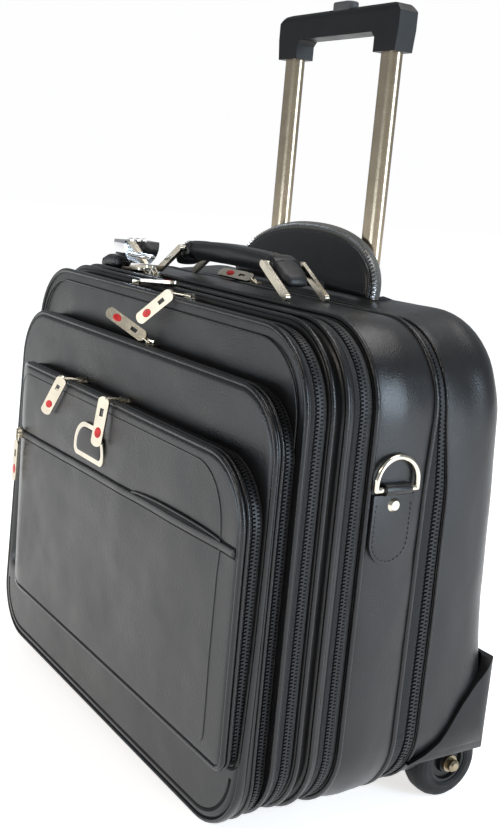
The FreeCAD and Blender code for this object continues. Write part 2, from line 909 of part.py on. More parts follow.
def _xz(point):
    return (point[0], 0, point[1])


# ---------------------------------------------------------------- shoulder strap D-rings

def half_torus_turn(torus, rise):
    """Angle about X that brings a half torus upright, its opening downwards."""
    for angle in (0, 90, 180, 270):
        trial = torus.copy()
        trial.rotate(Vector(0, 0, rise), Vector(1, 0, 0), angle)
        if trial.CenterOfMass.z > rise + 5:
            return angle
    raise RuntimeError("the D-ring's arc has no upright pose")


def make_dring(side_name, side):
    """Wire D-ring that hinges in the folded top of a leather tab on the case's side."""
    wire = dim("dring_wire")
    radius = dim("dring_radius")
    x = (half + 1.5 + 4.2) * side
    y = dim("y_dring")
    z = dim("dring_height")
    wire_r, turn_r, rise = wire.number, radius.number, 4.5
    pieces = [Part.makeTorus(turn_r, wire_r, Vector(0, 0, rise), Vector(1, 0, 0), -180, 180, 180)]
    pieces.append(Part.makeCylinder(wire_r, turn_r * 2, Vector(0, -turn_r, 0), Vector(0, 1, 0)))
    for end in (-1, 1):
        pieces.append(Part.makeCylinder(wire_r, rise, Vector(0, end * turn_r, 0)))
        pieces.append(Part.makeSphere(wire_r, Vector(0, end * turn_r, 0)))
    pieces[0].rotate(Vector(0, 0, rise), Vector(1, 0, 0), half_torus_turn(pieces[0], rise))
    shape = pieces[0].multiFuse(pieces[1:]).removeSplitter()
    obj = doc.addObject("Part::Feature", "d_ring_" + side_name)
    obj.Shape = shape
    obj.Placement = Placement(Vector(x.number, y.number, z.number), Rotation())
    keep(obj, "d_ring_" + side_name)

    thick = dim("tab_thick")
    tab = new_body("tab_leather_" + side_name, y=y, z=z)
    wall_x = half + 1.6
    place(tab, wall_x if side > 0 else -wall_x - thick, y, z)
    sketch = new_sketch(tab, "YZ_Plane")
    slot_half = dim("tab_drop") / 2
    width = Size.of(17)
    first = sketch.GeometryCount
    low = -slot_half * 2 + width
    w, lo = width.number, low.number
    up = Vector(0, 0, 1)
    sketch.addGeometry(Part.LineSegment(Vector(w, lo, 0), Vector(w, -4, 0)))
    sketch.addGeometry(Part.LineSegment(Vector(w, -4, 0), Vector(-w, -4, 0)))
    sketch.addGeometry(Part.LineSegment(Vector(-w, -4, 0), Vector(-w, lo, 0)))
    sketch.addGeometry(Part.ArcOfCircle(Part.Circle(Vector(0, lo, 0), up, w), math.pi, 2 * math.pi))
    for k in range(3):
        relate(sketch, "Coincident", first + k, 2, first + k + 1, 1)
    relate(sketch, "Coincident", first + 3, 2, first, 1)
    hold_point(sketch, first + 1, 1, width, Size.of(-4))
    hold_point(sketch, first + 1, 2, -width, Size.of(-4))
    hold_point(sketch, first + 3, 3, Size.of(0), low)
    hold(sketch, "Radius", (first + 3,), width)
    pad(tab, sketch, thick)
    fold = cylinder("fold", (x, y - 10.5, z), Size.of(4), Size.of(21), (0, 1, 0))
    web_a = wall_x if side > 0 else -wall_x - thick
    web = box("web", (web_a, y - 10.5, z - 4.5), (web_a + thick, y + 10.5, z))
    bore = cylinder("fold_bore", (x, y - 20, z), wire + 0.08, Size.of(40), (0, 1, 0))
    keep(cut("tab", fuse("tab_blank", tab, fold, web), bore), "d_ring_tab_" + side_name)


def make_tab_rivets():
    solids = []
    face = half + 1.6 + dim("tab_thick")
    for side in (-1, 1):
        rivet = doc.addObject("Part::Cone", "rivet")
        bind(rivet, "Radius1", Size.of(4.8))
        bind(rivet, "Radius2", Size.of(3.2))
        bind(rivet, "Height", Size.of(2))
        turn = Rotation(Vector(0, 0, 1), Vector(side, 0, 0))
        rivet.Placement = Placement(Vector(0, 0, 0), turn)
        place(rivet, face * side, dim("y_dring"), dim("dring_height") - 11)
        solids.append(rivet)
    group = doc.addObject("Part::Compound", "tab_rivets")
    group.Links = solids
    keep(group, "tab_rivets")


# ---------------------------------------------------------------- zip sliders and pullers

def unit(vector):
    return Vector(*vector).normalize()


def frame_of(origin, x_way, z_way):
    """Placement whose X axis runs along one direction and whose Z axis is near another."""
    x_axis = unit(x_way)
    z_axis = unit(z_way)
    z_axis = (z_axis - x_axis * z_axis.dot(x_axis)).normalize()
    return Placement(Vector(*origin), Rotation(x_axis, z_axis.cross(x_axis), z_axis, "ZXY"))


def slider_shape(bridge_turn):
    """Slider lying on a tape: X along the zip, Z away from the tape, its bridge turned about Z."""
    length, width = dim("slider_length").number, dim("slider_width").number
    high = dim("slider_height").number
    outline = [
        (-length / 2, -width / 2 + 1.8),
        (-length / 6, -width / 2),
        (length / 2, -width / 2 + 1),
        (length / 2, width / 2 - 1),
        (-length / 6, width / 2),
        (-length / 2, width / 2 - 1.8),
    ]
    corners = [Vector(x, y, 0) for x, y in outline + outline[:1]]
    base = Part.Face(Part.makePolygon(corners)).extrude(Vector(0, 0, high - 1.6))
    bridge = Part.makeBox(8, 2, 3.4, Vector(-4, -1, high - 1.7))
    eye = Part.makeBox(5, 4, 1.9, Vector(-2.5, -2, high - 1.4))
    bridge = bridge.cut(eye)
    bridge.rotate(Vector(0, 0, 0), Vector(0, 0, 1), bridge_turn)
    return base.fuse(bridge).removeSplitter()


def bar_between(a, b, side_way, width, thick):
    """Flat bar with round ends between two points, its width along a given direction."""
    run = b - a
    shape = Part.makeBox(run.Length, width, thick, Vector(0, -width / 2, -thick / 2))
    for x in (0, run.Length):
        shape = shape.fuse(Part.makeCylinder(width / 2, thick, Vector(x, 0, -thick / 2)))
    shape = shape.removeSplitter()
    x_axis = Vector(run).normalize()
    shape.Placement = bar_placement(a, x_axis, side_way)
    return shape


def puller_shape(pivot, knee, tip, side_way, flat_way):
    """Wire loop through the slider's bridge, closed at the knee, then a flat bar to the tip."""
    link_width, link_wire = 5.4, 1.2
    way = (knee - pivot).normalize()
    across = link_width - link_wire
    solids = []
    for end in (-1, 1):
        offset = side_way * (end * across / 2)
        solids.append(Part.makeCylinder(link_wire / 2, (knee - pivot).Length, pivot + offset, way))
        for corner in (pivot, knee):
            solids.append(Part.makeSphere(link_wire / 2, corner + offset))
    for corner in (pivot, knee):
        start = corner - side_way * (across / 2)
        solids.append(Part.makeCylinder(link_wire / 2, across, start, side_way))
    width, thick = dim("puller_width").number, dim("puller_thick").number
    run = (tip - knee).normalize()
    across_bar = (flat_way - run * flat_way.dot(run)).normalize()
    start = knee + run * 3.2
    bar = bar_between(start, tip, across_bar, width, thick)
    slot_hole = Part.makeBox(6.5, 3, thick + 2, Vector(width / 2 + 0.5, -1.5, -thick / 2 - 1))
    slot_hole.Placement = bar_placement(start, run, across_bar)
    return bar.cut(slot_hole).multiFuse(solids)


def bar_placement(start, run, across):
    return Placement(start, Rotation(run, across, run.cross(across), "XYZ"))


def place_pull(seat, zip_way, out, knee, tip, flat):
    """Shapes of a slider and its puller, placed on the case."""
    out_way = unit(out)
    pivot = Vector(*seat) + out_way * (dim("slider_height").number - 0.45)
    aim = Vector(*knee) - pivot
    side_way = out_way.cross(aim).normalize()
    flat_aim = side_way.cross(out_way)
    zip_axis = unit(zip_way)
    cross_axis = out_way.cross(zip_axis)
    turn = math.degrees(math.atan2(flat_aim.dot(cross_axis), flat_aim.dot(zip_axis)))
    slider = slider_shape(turn)
    slider.Placement = frame_of(seat, zip_way, out)
    return slider, puller_shape(pivot, Vector(*knee), Vector(*tip), side_way, Vector(*flat))


def make_zip_pull(name, seat, out, knee, tip, flat):
    """A slider on its tape, and the puller that swings in its bridge and lies flat along a way."""
    shapes = place_pull(seat, (1, 0, 0), out, knee, tip, flat)
    for kind, shape in zip(("slider", "puller"), shapes):
        obj = doc.addObject("Part::Feature", "%s_%s" % (name, kind))
        placement = shape.Placement
        obj.Shape = shape
        obj.Placement = placement
        keep(obj, "%s_%s" % (name, kind))


def make_zip_pulls():
    up = (0, 0, 1)
    lift = 0.2
    z = dim("panel_top").number - 1 + lift
    y = (dim("y_panel_rear").number + dim("y_lid_front").number) / 2
    hang = (-0.45, -0.38, 0.81)
    make_zip_pull("front_zip_right", (39, y, z), up, (36, y - 13.3, z + 5.3), (9, y - 22.3, z - 16.7), hang)
    make_zip_pull("front_zip_left", (-47, y, z), up, (-40, y + 1.6, z + 6.5), (-5, y + 9.6, z + 9), (0, 1, 0))
    z = top.number - 1.5 + lift
    y = (dim("y_gusset_rear").number + dim("y_rear_front").number) / 2
    tilt = (0, 0.75, 0.66)
    make_zip_pull("rear_zip_right", (-26, y, z), up, (-31, y - 3, z + 7.3), (-61, y - 10.5, z + 8.8), tilt)
    make_zip_pull("rear_zip_left", (-40, y, z), up, (-47, y + 1, z + 7.3), (-87, y + 2.5, z + 6.8), tilt)
    z = dim("mid_top").number - 1.5 + lift
    y = dim("y_mid_rear").number - 5
    raised = (0.14, 0.52, 0.84)
    make_zip_pull("mid_zip", (14, y, z), up, (8, y - 2.2, z + 6.5), (-26, y - 14.5, z + 20), raised)
    z = dim("small_top").number - 1.5 + lift
    y = dim("y_small_rear").number - 5.5
    face = dim("y_small_front").number
    turned = (0.8, 0.58, -0.1)
    make_zip_pull("small_zip_right", (14, y, z), up, (12, face - 4.4, z + 4.6), (5, face - 5.6, 243), turned)
    make_zip_pull("small_zip_left", (-64, y, z), up, (-67, face - 4.4, z + 4.6), (-94, face - 5.6, 246), turned)
    z = dim("slash_height").number
    tip = (-162, face - 3.9, z - 40)
    make_zip_pull("slash_zip", (-158, face - lift, z), (0, -1, 0), (-158.6, face - 4.3, z - 7), tip, (1, 0, 0))


def make_main_zip_hardware():
    """The two main sliders with their pullers brought together under the padlock."""
    y = (dim("y_lid_rear").number + dim("y_gusset_front").number) / 2
    z = top.number - 1.3
    sliders, pullers = [], []
    for x, way, lift, fall in ((-92, (-1, 0, 0), 5.4, -2.2), (-77, (1, 0, 0), 9.0, -3.0)):
        knee = (x - 8, y, z + lift)
        tip = (x - 40, y, z + lift + fall)
        slider, puller = place_pull((x, y, z), way, (0, 0, 1), knee, tip, (0, 1, 0))
        sliders.append(slider)
        pullers.append(puller)
    for label, solids in (("main_zip_sliders", sliders), ("main_zip_pullers", pullers)):
        obj = doc.addObject("Part::Feature", label)
        obj.Shape = Part.makeCompound(solids)
        keep(obj, label)


def make_padlock():
    """Half-oval combination padlock lying across the main zip, flat side up."""
    length, high = dim("lock_length").number, dim("lock_height").number
    thick = dim("lock_width").number
    x, z = dim("lock_x").number, dim("lock_z").number
    y = (dim("y_lid_rear").number + dim("y_gusset_front").number) / 2 + 2
    a, b = length / 2, high
    low = b * 0.06
    # the round underside is blunter than a circle: two side arcs and a broad foot
    side_a = Part.Arc(Vector(0, -a, b), Vector(0, -a + 1.6, b * 0.42), Vector(0, -a * 0.55, low))
    foot = Part.LineSegment(Vector(0, -a * 0.55, low), Vector(0, a * 0.55, low))
    side_b = Part.Arc(Vector(0, a * 0.55, low), Vector(0, a - 1.6, b * 0.42), Vector(0, a, b))
    lid = Part.LineSegment(Vector(0, a, b), Vector(0, -a, b))
    wire = Part.Wire([e.toShape() for e in (side_a, foot, side_b, lid)])
    shape = Part.Face(wire).extrude(Vector(thick, 0, 0))
    wire_r, span, leg_z = 1.6, 6.0, 8.0
    for end in (-1, 1):
        bore = Part.makeCylinder(wire_r + 0.06, 10, Vector(thick - 9, end * span, leg_z), Vector(1, 0, 0))
        shape = shape.cut(bore)
    dials = []
    dial_r, dial_w, dial_z = 4.4, 3.2, b - 2.4
    for k in (-1, 0, 1):
        start = Vector(thick / 2, k * 6.2 - dial_w / 2, dial_z)
        room = Part.makeCylinder(dial_r + 0.4, dial_w + 0.4, start - Vector(0, 0.2, 0), Vector(0, 1, 0))
        shape = shape.cut(room)
        dial = Part.makeCylinder(dial_r, dial_w, start, Vector(0, 1, 0))
        dials.append(dial)
    body = doc.addObject("Part::Feature", "padlock_body")
    body.Shape = shape.removeSplitter()
    body.Placement = Placement(Vector(x - thick / 2, y, z), Rotation())
    keep(body, "padlock_body")
    wheels = doc.addObject("Part::Feature", "padlock_dials")
    wheels.Shape = Part.makeCompound(dials)
    wheels.Placement = Placement(Vector(x - thick / 2, y, z), Rotation())
    keep(wheels, "padlock_dials")

    reach = 10.0
    bend = Part.makeTorus(span, wire_r, Vector(reach, 0, 0), Vector(0, 0, 1), -180, 180, 180)
    bend.rotate(Vector(reach, 0, 0), Vector(0, 0, 1), -90)
    legs = [Part.makeCylinder(wire_r, reach + 8, Vector(-8, e * span, 0), Vector(1, 0, 0)) for e in (-1, 1)]
    shackle = doc.addObject("Part::Feature", "padlock_shackle")
    shackle.Shape = bend.multiFuse(legs).removeSplitter()
    shackle.Placement = Placement(Vector(x + thick / 2, y, z + leg_z), Rotation())
    keep(shackle, "padlock_shackle")


def make_badge():
    """Plain rimmed badge on the small pocket, with no device on it."""
    body = new_body("badge", x=-18, y=dim("y_small_front") - 0.1, z=221.5)
    sketch = new_sketch(body, "XZ_Plane")
    rounded_rectangle(sketch, Size.of(27), Size.of(1) * 0.5, Size.of(29), Size.of(21), Size.of(6))
    pad(body, sketch, Size.of(1.4))
    keep(body, "badge")


make_main_gusset()
make_zip_tape("main_zip_tape", dim("y_lid_rear"), dim("y_gusset_front"), case_loop, Size.of(1.5))
make_zip_tape("rear_zip_tape", dim("y_gusset_rear"), dim("y_rear_front"), case_loop, Size.of(1.5))
make_rear_shell()
make_front_lid()
make_zip_tape("front_zip_tape", dim("y_panel_rear"), dim("y_lid_front"), panel_loop, Size.of(1))
make_tray("front_panel", dim("y_panel_front"), dim("y_panel_rear"), panel_loop, board)
make_zip_tape("mid_zip_tape", dim("y_mid_rear") - 10, dim("y_mid_rear"), mid_loop, Size.of(1.5))
make_tray("mid_pocket", dim("y_mid_front"), dim("y_mid_rear") - 10, mid_loop, board)
make_zip_tape("small_zip_tape", dim("y_small_rear") - 11, dim("y_small_rear"), small_loop, Size.of(1.5))
make_tray("small_pocket", dim("y_small_front"), dim("y_small_rear") - 11, small_loop, board)
make_badge()
make_corner_guard("corner_guard_left", -1)
make_corner_guard("corner_guard_right", 1)
make_wheel("left", -1)
make_wheel("right", 1)
make_wheel_axles()
make_front_feet()
make_tubes()
make_grip()
make_handle_well()
make_handle_cover()
make_handle_ring("left", -1)
make_handle_ring("right", 1)
make_carry_pad()
make_dring("left", -1)
make_dring("right", 1)
make_tab_rivets()
make_zip_pulls()
make_main_zip_hardware()
make_padlock()

doc.recompute()
for obj in doc.Objects:
    if "Invalid" in obj.State or "Error" in obj.State:
        raise RuntimeError("%s failed: %s" % (obj.Name, obj.State))
labels = [part.Label for part in parts]
if len(set(labels)) != len(labels) or len(labels) > 60:
    raise RuntimeError("labels repeat or are too many: %d" % len(labels))
os.makedirs("parts", exist_ok=True)
for part in parts:
    if part.Shape.isNull() or not part.Shape.isValid() or not part.Shape.Solids:
        raise RuntimeError("%s has no valid solid" % part.Label)
for part in parts:
    part.Shape.exportStep("parts/%s.step" % part.Label)
whole = Part.makeCompound([part.Shape for part in parts]).BoundBox
print("%d nodes, X %.1f..%.1f Y %.1f..%.1f Z %.1f..%.1f" % (
    len(parts), whole.XMin, whole.XMax, whole.YMin, whole.YMax, whole.ZMin, whole.ZMax))
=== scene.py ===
import math

import bmesh
import bpy
from mathutils import Matrix, Vector, noise
from mathutils.bvhtree import BVHTree


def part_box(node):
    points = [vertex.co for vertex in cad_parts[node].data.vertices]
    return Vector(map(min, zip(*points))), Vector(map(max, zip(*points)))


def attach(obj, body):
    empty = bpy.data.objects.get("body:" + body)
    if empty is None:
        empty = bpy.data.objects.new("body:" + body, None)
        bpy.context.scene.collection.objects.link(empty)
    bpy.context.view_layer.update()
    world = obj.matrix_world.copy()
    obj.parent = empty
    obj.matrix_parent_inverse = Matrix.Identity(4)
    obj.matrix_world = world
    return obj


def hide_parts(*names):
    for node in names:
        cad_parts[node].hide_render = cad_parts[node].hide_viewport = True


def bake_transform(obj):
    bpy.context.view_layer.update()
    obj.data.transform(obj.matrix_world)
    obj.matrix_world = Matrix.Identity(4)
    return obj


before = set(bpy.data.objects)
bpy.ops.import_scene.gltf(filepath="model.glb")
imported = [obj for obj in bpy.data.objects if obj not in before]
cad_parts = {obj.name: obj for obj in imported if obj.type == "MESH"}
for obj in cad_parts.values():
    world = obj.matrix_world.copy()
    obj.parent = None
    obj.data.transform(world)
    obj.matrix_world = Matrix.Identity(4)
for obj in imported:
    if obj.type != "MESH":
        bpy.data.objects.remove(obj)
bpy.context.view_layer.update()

# Rolling laptop case. +X is right, -Y is front and +Z is up. Lengths are millimetres in the CAD's
# frame, and they become metres where a mesh is made.
MM = 0.001


def cad(node):
    """Lowest and highest corner of a CAD node, in millimetres."""
    return [[round(value / MM, 1) for value in corner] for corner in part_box(node)]


def depth(node):
    """Front and rear y of a CAD node."""
    low, high = cad(node)
    return low[1], high[1]


# The case's layers from front to rear. A zip tape stands TAPE_GAP clear of the layer behind it.
TAPE_GAP = 0.5
SMALL_FRONT = depth("small_pocket")[0]
SMALL_REAR = depth("small_zip_tape")[1] + TAPE_GAP
MID_FRONT = depth("mid_pocket")[0]
MID_REAR = depth("mid_zip_tape")[1] + TAPE_GAP
PANEL_FRONT, PANEL_REAR = depth("front_panel")
(_, LID_FRONT, LOW), (HALF, LID_REAR, HIGH) = cad("front_lid")
GUSSET_FRONT, GUSSET_REAR = depth("main_gusset")
REAR_FRONT = depth("rear_zip_tape")[1] + TAPE_GAP

MIDDLE = (LOW + HIGH) / 2
CORNER = 58.0

# Y of the leaning back at its foot and at its top, then where smaller pieces sit.
BACK_LOW, BACK_HIGH = 111.0, 93.0
BADGE_X, BADGE_Z = -18.0, 236.0
COVER_HINGE_Y, COVER_HINGE_Z = 49.5, 366.5
COVER_LEAN = math.radians(11)
PAD_HALF, PAD_Y = 86.0, sum(depth("carry_handle_pad")) / 2
TAB_Y = sum(depth("d_ring_tab_left")) / 2


# ---------------------------------------------------------------- camera, light, floor

def make_camera():
    """Camera to the front right, a little above the case's top."""
    camera = bpy.data.objects.new("camera", bpy.data.cameras.new("camera"))
    bpy.context.scene.collection.objects.link(camera)
    right = Vector((0.53404, 0.84096, 0.08715))
    up = Vector((-0.21339, 0.03433, 0.97636))
    back = right.cross(up).normalized()
    turn = Matrix((right, up, back)).transposed().to_4x4()
    camera.matrix_world = Matrix.Translation(Vector((0.7501, -0.4795, 0.4390))) @ turn
    camera.data.sensor_fit = "VERTICAL"
    camera.data.sensor_height = 24.0
    camera.data.lens = 32.28
    camera.data.clip_start = 0.01
    bpy.context.scene.camera = camera


def area_light(name, place, aim, size, power, colour):
    """Rectangular light at a place in metres, turned to its aim."""
    data = bpy.data.lights.new(name, "AREA")
    data.shape = "RECTANGLE"
    data.size, data.size_y = size
    data.energy = power
    data.color = colour
    light = bpy.data.objects.new(name, data)
    light.location = place
    light.rotation_euler = (Vector(aim) - Vector(place)).to_track_quat("-Z", "Y").to_euler()
    bpy.context.scene.collection.objects.link(light)


def make_studio():
    """White backdrop, soft lights and a pale floor."""
    scene = bpy.context.scene
    scene.view_settings.view_transform = "Standard"
    scene.view_settings.look = "None"
    world = bpy.data.worlds.new("studio")
    scene.world = world
    world.use_nodes = True
    tree = world.node_tree
    background = tree.nodes["Background"]
    background.inputs["Color"].default_value = (0.9, 0.95, 1.0, 1)
    background.inputs["Strength"].default_value = 0.36
    backdrop = tree.nodes.new("ShaderNodeBackground")
    backdrop.inputs["Color"].default_value = (0.99, 0.99, 1.0, 1)
    choice = tree.nodes.new("ShaderNodeMixShader")
    tree.links.new(tree.nodes.new("ShaderNodeLightPath").outputs["Is Camera Ray"], choice.inputs[0])
    tree.links.new(background.outputs[0], choice.inputs[1])
    tree.links.new(backdrop.outputs[0], choice.inputs[2])
    tree.links.new(choice.outputs[0], tree.nodes["World Output"].inputs["Surface"])
    area_light("key", (0.5, -2.1, 1.9), (0, 0, 0.25), (1.2, 0.7), 15, (1.0, 0.9, 0.76))
    area_light("side", (2.2, 0.9, 0.8), (0.2, 0, 0.2), (0.9, 1.5), 46, (0.72, 0.86, 1.0))
    area_light("top", (0.1, 0.6, 2.3), (0, 0, 0.3), (1.3, 1.3), 22, (1.0, 0.97, 0.95))
    area_light("front_low", (-0.5, -2.2, 0.15), (0, 0, 0.05), (1.8, 0.3), 13, (0.7, 0.85, 1.0))
    mesh = bpy.data.meshes.new("floor")
    form = bmesh.new()
    bmesh.ops.create_grid(form, x_segments=2, y_segments=2, size=14)
    form.to_mesh(mesh)
    form.free()
    floor = bpy.data.objects.new("floor", mesh)
    scene.collection.objects.link(floor)
    floor.data.materials.append(floor_material())


# ---------------------------------------------------------------- materials

class Nodes:
    """Short hand for building a node material."""

    def __init__(self, name):
        self.material = bpy.data.materials.new(name)
        self.material.use_nodes = True
        self.tree = self.material.node_tree
        self.shader = self.tree.nodes["Principled BSDF"]
        self.coords = self.tree.nodes.new("ShaderNodeTexCoord").outputs["Object"]

    def set(self, **values):
        for key, value in values.items():
            self.shader.inputs[key.replace("_", " ")].default_value = value
        return self

    def link(self, output, socket):
        self.tree.links.new(output, self.shader.inputs[socket])
        return self

    def node(self, kind, inputs=None, **settings):
        node = self.tree.nodes.new(kind)
        for key, value in settings.items():
            setattr(node, key, value)
        for key, value in (inputs or {}).items():
            if hasattr(value, "is_output") and value.is_output:
                self.tree.links.new(value, node.inputs[key])
            else:
                node.inputs[key].default_value = value
        return node

    def noise(self, scale, detail=4.0, rough=0.5, stretch=None):
        source = self.coords
        if stretch:
            source = self.node("ShaderNodeMapping", {"Vector": source, "Scale": stretch}).outputs[0]
        values = {"Vector": source, "Scale": scale, "Detail": detail, "Roughness": rough}
        return self.node("ShaderNodeTexNoise", values).outputs["Fac"]

    def voronoi(self, scale):
        values = {"Vector": self.coords, "Scale": scale}
        return self.node("ShaderNodeTexVoronoi", values).outputs["Distance"]

    def remap(self, value, low, high, to_low, to_high):
        values = {"Value": value, "From Min": low, "From Max": high, "To Min": to_low, "To Max": to_high}
        return self.node("ShaderNodeMapRange", values).outputs[0]

    def ramp(self, value, *stops):
        node = self.node("ShaderNodeValToRGB", {"Fac": value})
        elements = node.color_ramp.elements
        while len(elements) < len(stops):
            elements.new(0.5)
        for element, (place, colour) in zip(elements, stops):
            element.position = place
            element.color = (*colour, 1)
        return node.outputs["Color"]

    def math(self, kind, a, b):
        return self.node("ShaderNodeMath", {0: a, 1: b}, operation=kind).outputs[0]

    def bump(self, height, strength, distance):
        values = {"Height": height, "Strength": strength, "Distance": distance}
        self.tree.links.new(self.node("ShaderNodeBump", values).outputs[0], self.shader.inputs["Normal"])
        return self


def floor_material():
    m = Nodes("studio_floor")
    m.link(m.ramp(m.noise(3.0), (0.3, (0.93, 0.935, 0.94)), (0.8, (0.96, 0.96, 0.96))), "Base Color")
    m.set(Roughness=0.75, Emission_Color=(1.0, 0.985, 0.965, 1), Emission_Strength=0.7)
    return m.material


def leather(name, rough=0.33, grain=950, sheen=0.0125):
    """Coated black leather: fine pebble grain, slow creases, scuffed lighter here and there."""
    m = Nodes(name)
    colour = (0.004, 0.004, 0.0045)
    pebble = m.voronoi(grain)
    fine = m.noise(2600, 3)
    crease = m.noise(26, 6, 0.62)
    height = m.math("ADD", m.math("MULTIPLY", pebble, 0.8), m.math("MULTIPLY", fine, 0.3))
    height = m.math("ADD", height, m.math("MULTIPLY", crease, 1.4))
    m.bump(height, 0.26, 0.0006)
    light = tuple(c * 1.9 + 0.002 for c in colour)
    m.link(m.ramp(m.noise(9, 5, 0.6), (0.35, colour), (0.75, light)), "Base Color")
    m.link(m.remap(m.noise(14, 5, 0.65), 0.3, 0.75, rough - 0.07, rough + 0.12), "Roughness")
    m.set(Coat_Weight=0.1, Coat_Roughness=0.25, Specular_IOR_Level=0.38, Sheen_Weight=sheen)
    return m.material


def woven(name, dark, light, pitch=900):
    """Cloth with a fine weave."""
    m = Nodes(name)
    across = m.node("ShaderNodeTexWave", {"Vector": m.coords, "Scale": pitch}, bands_direction="DIAGONAL")
    down = m.node("ShaderNodeTexWave", {"Vector": m.coords, "Scale": pitch * 0.8}, bands_direction="X")
    weave = m.math("MULTIPLY", across.outputs["Fac"], down.outputs["Fac"])
    m.link(m.ramp(weave, (0.05, dark), (0.8, light)), "Base Color")
    m.bump(weave, 0.6, 0.0005)
    m.set(Roughness=0.8, Sheen_Weight=0.15)
    return m.material


def metal(name, colour, rough, brushed=(1, 1, 1), wear=0.08):
    """Metal with fine streaks, long along the axis where brushed is low."""
    m = Nodes(name)
    dark = tuple(c * 0.82 for c in colour)
    m.link(m.ramp(m.noise(70, 5), (0.3, dark), (0.7, colour)), "Base Color")
    streak = m.noise(900, 3, 0.6, stretch=brushed)
    m.link(m.remap(streak, 0.25, 0.8, rough - wear, rough + wear), "Roughness")
    m.bump(streak, 0.05, 0.0002)
    m.set(Metallic=1.0)
    return m.material


def plastic(name, colour, rough, texture=1400, strength=0.2):
    """Moulded plastic with a fine texture."""
    m = Nodes(name)
    light = tuple(c * 1.7 + 0.002 for c in colour)
    m.link(m.ramp(m.noise(22, 5), (0.35, colour), (0.8, light)), "Base Color")
    m.link(m.remap(m.noise(60, 4), 0.3, 0.75, rough - 0.06, rough + 0.08), "Roughness")
    m.bump(m.noise(texture, 3), strength, 0.0004)
    m.set(Specular_IOR_Level=0.3)
    return m.material


def rubber(name):
    m = Nodes(name)
    m.link(m.ramp(m.noise(60, 6), (0.35, (0.004, 0.004, 0.004)), (0.8, (0.015, 0.015, 0.016))), "Base Color")
    m.link(m.remap(m.noise(120, 4), 0.3, 0.7, 0.55, 0.75), "Roughness")
    m.bump(m.noise(1500, 2), 0.3, 0.0004)
    m.set(Specular_IOR_Level=0.3)
    return m.material


def enamel(name, colour):
    m = Nodes(name)
    dark = tuple(c * 0.6 for c in colour)
    m.link(m.ramp(m.noise(300, 3), (0.3, dark), (0.7, colour)), "Base Color")
    m.set(Roughness=0.3, Coat_Weight=0.2, Coat_Roughness=0.05, Specular_IOR_Level=0.3)
    return m.material


LEATHER = leather("leather_case")
LEATHER_SOFT = leather("leather_pockets", rough=0.3, grain=820)
LEATHER_TRIM = leather("leather_piping", rough=0.2, grain=1500, sheen=0.005)
LEATHER_PAD = leather("leather_handle", rough=0.4, grain=1100)
TAPE = woven("zip_tape", (0.002, 0.002, 0.002), (0.02, 0.02, 0.022))
MESH_TAPE = woven("cover_mesh", (0.06, 0.06, 0.055), (0.3, 0.3, 0.28), 620)
TEETH = plastic("zip_teeth", (0.008, 0.008, 0.009), 0.42, 900, 0.1)
GOLD = metal("pale_gold", (0.7, 0.64, 0.52), 0.22)
GOLD_BRIGHT = metal("pale_gold_bright", (0.76, 0.7, 0.58), 0.16)
CHAMPAGNE = metal("champagne_anodised", (0.52, 0.43, 0.31), 0.24, (40, 40, 1))
SILVER = metal("silver_teeth", (0.7, 0.7, 0.7), 0.25)
BRASS = metal("dull_brass", (0.3, 0.25, 0.17), 0.34)
CHROME = metal("chrome", (0.86, 0.86, 0.87), 0.07, wear=0.03)
GUARD = plastic("guard_plastic", (0.004, 0.004, 0.0045), 0.42)
GRIP = plastic("grip_plastic", (0.002, 0.002, 0.0022), 0.44, 1100)
BUTTON = plastic("button_plastic", (0.05, 0.05, 0.052), 0.5)
HUB = plastic("hub_plastic", (0.005, 0.005, 0.0055), 0.35, 900, 0.1)
TYRE = rubber("tyre_rubber")
RED = enamel("red_enamel", (0.72, 0.02, 0.02))
SEAM = plastic("stitch_thread", (0.012, 0.012, 0.013), 0.6)
BADGE_FACE = plastic("badge_face", (0.002, 0.002, 0.0025), 0.16, 500, 0.03)
# Flat black that paints shade: strips laid in folds and grooves, under the small pocket and in the slash
# pocket's mouth.
SHADOW = plastic("painted_gap_shade", (0.002, 0.002, 0.002), 0.85)
LINING = woven("lining", (0.02, 0.02, 0.022), (0.05, 0.05, 0.055), 500)


# ---------------------------------------------------------------- meshes

def new_object(name, verts, faces, material, body, slot, smooth=True):
    """Mesh piece from millimetres; it rides on its body, or is left unattached when body is None."""
    mesh = bpy.data.meshes.new(name)
    mesh.from_pydata([(x * MM, y * MM, z * MM) for x, y, z in verts], [], faces)
    mesh.update()
    form = bmesh.new()
    form.from_mesh(mesh)
    bmesh.ops.recalc_face_normals(form, faces=form.faces)
    form.to_mesh(mesh)
    form.free()
    obj = bpy.data.objects.new(name, mesh)
    bpy.context.scene.collection.objects.link(obj)
    mesh.materials.append(material)
    if smooth:
        mesh.shade_smooth()
    if body:
        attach(obj, body)
    return obj


def sharpen(obj, degrees=38):
    """Keeps creases sharper than an angle while the rest stays smooth."""
    obj.data.set_sharp_from_angle(angle=math.radians(degrees))


def modifier(obj, kind, **settings):
    mod = obj.modifiers.new(kind.lower(), kind)
    for key, value in settings.items():
        setattr(mod, key, value)
    return mod


def apply_modifiers(obj):
    """Takes the modified shape as the object's own mesh."""
    graph = bpy.context.evaluated_depsgraph_get()
    mesh = bpy.data.meshes.new_from_object(obj.evaluated_get(graph))
    obj.modifiers.clear()
    obj.data = mesh


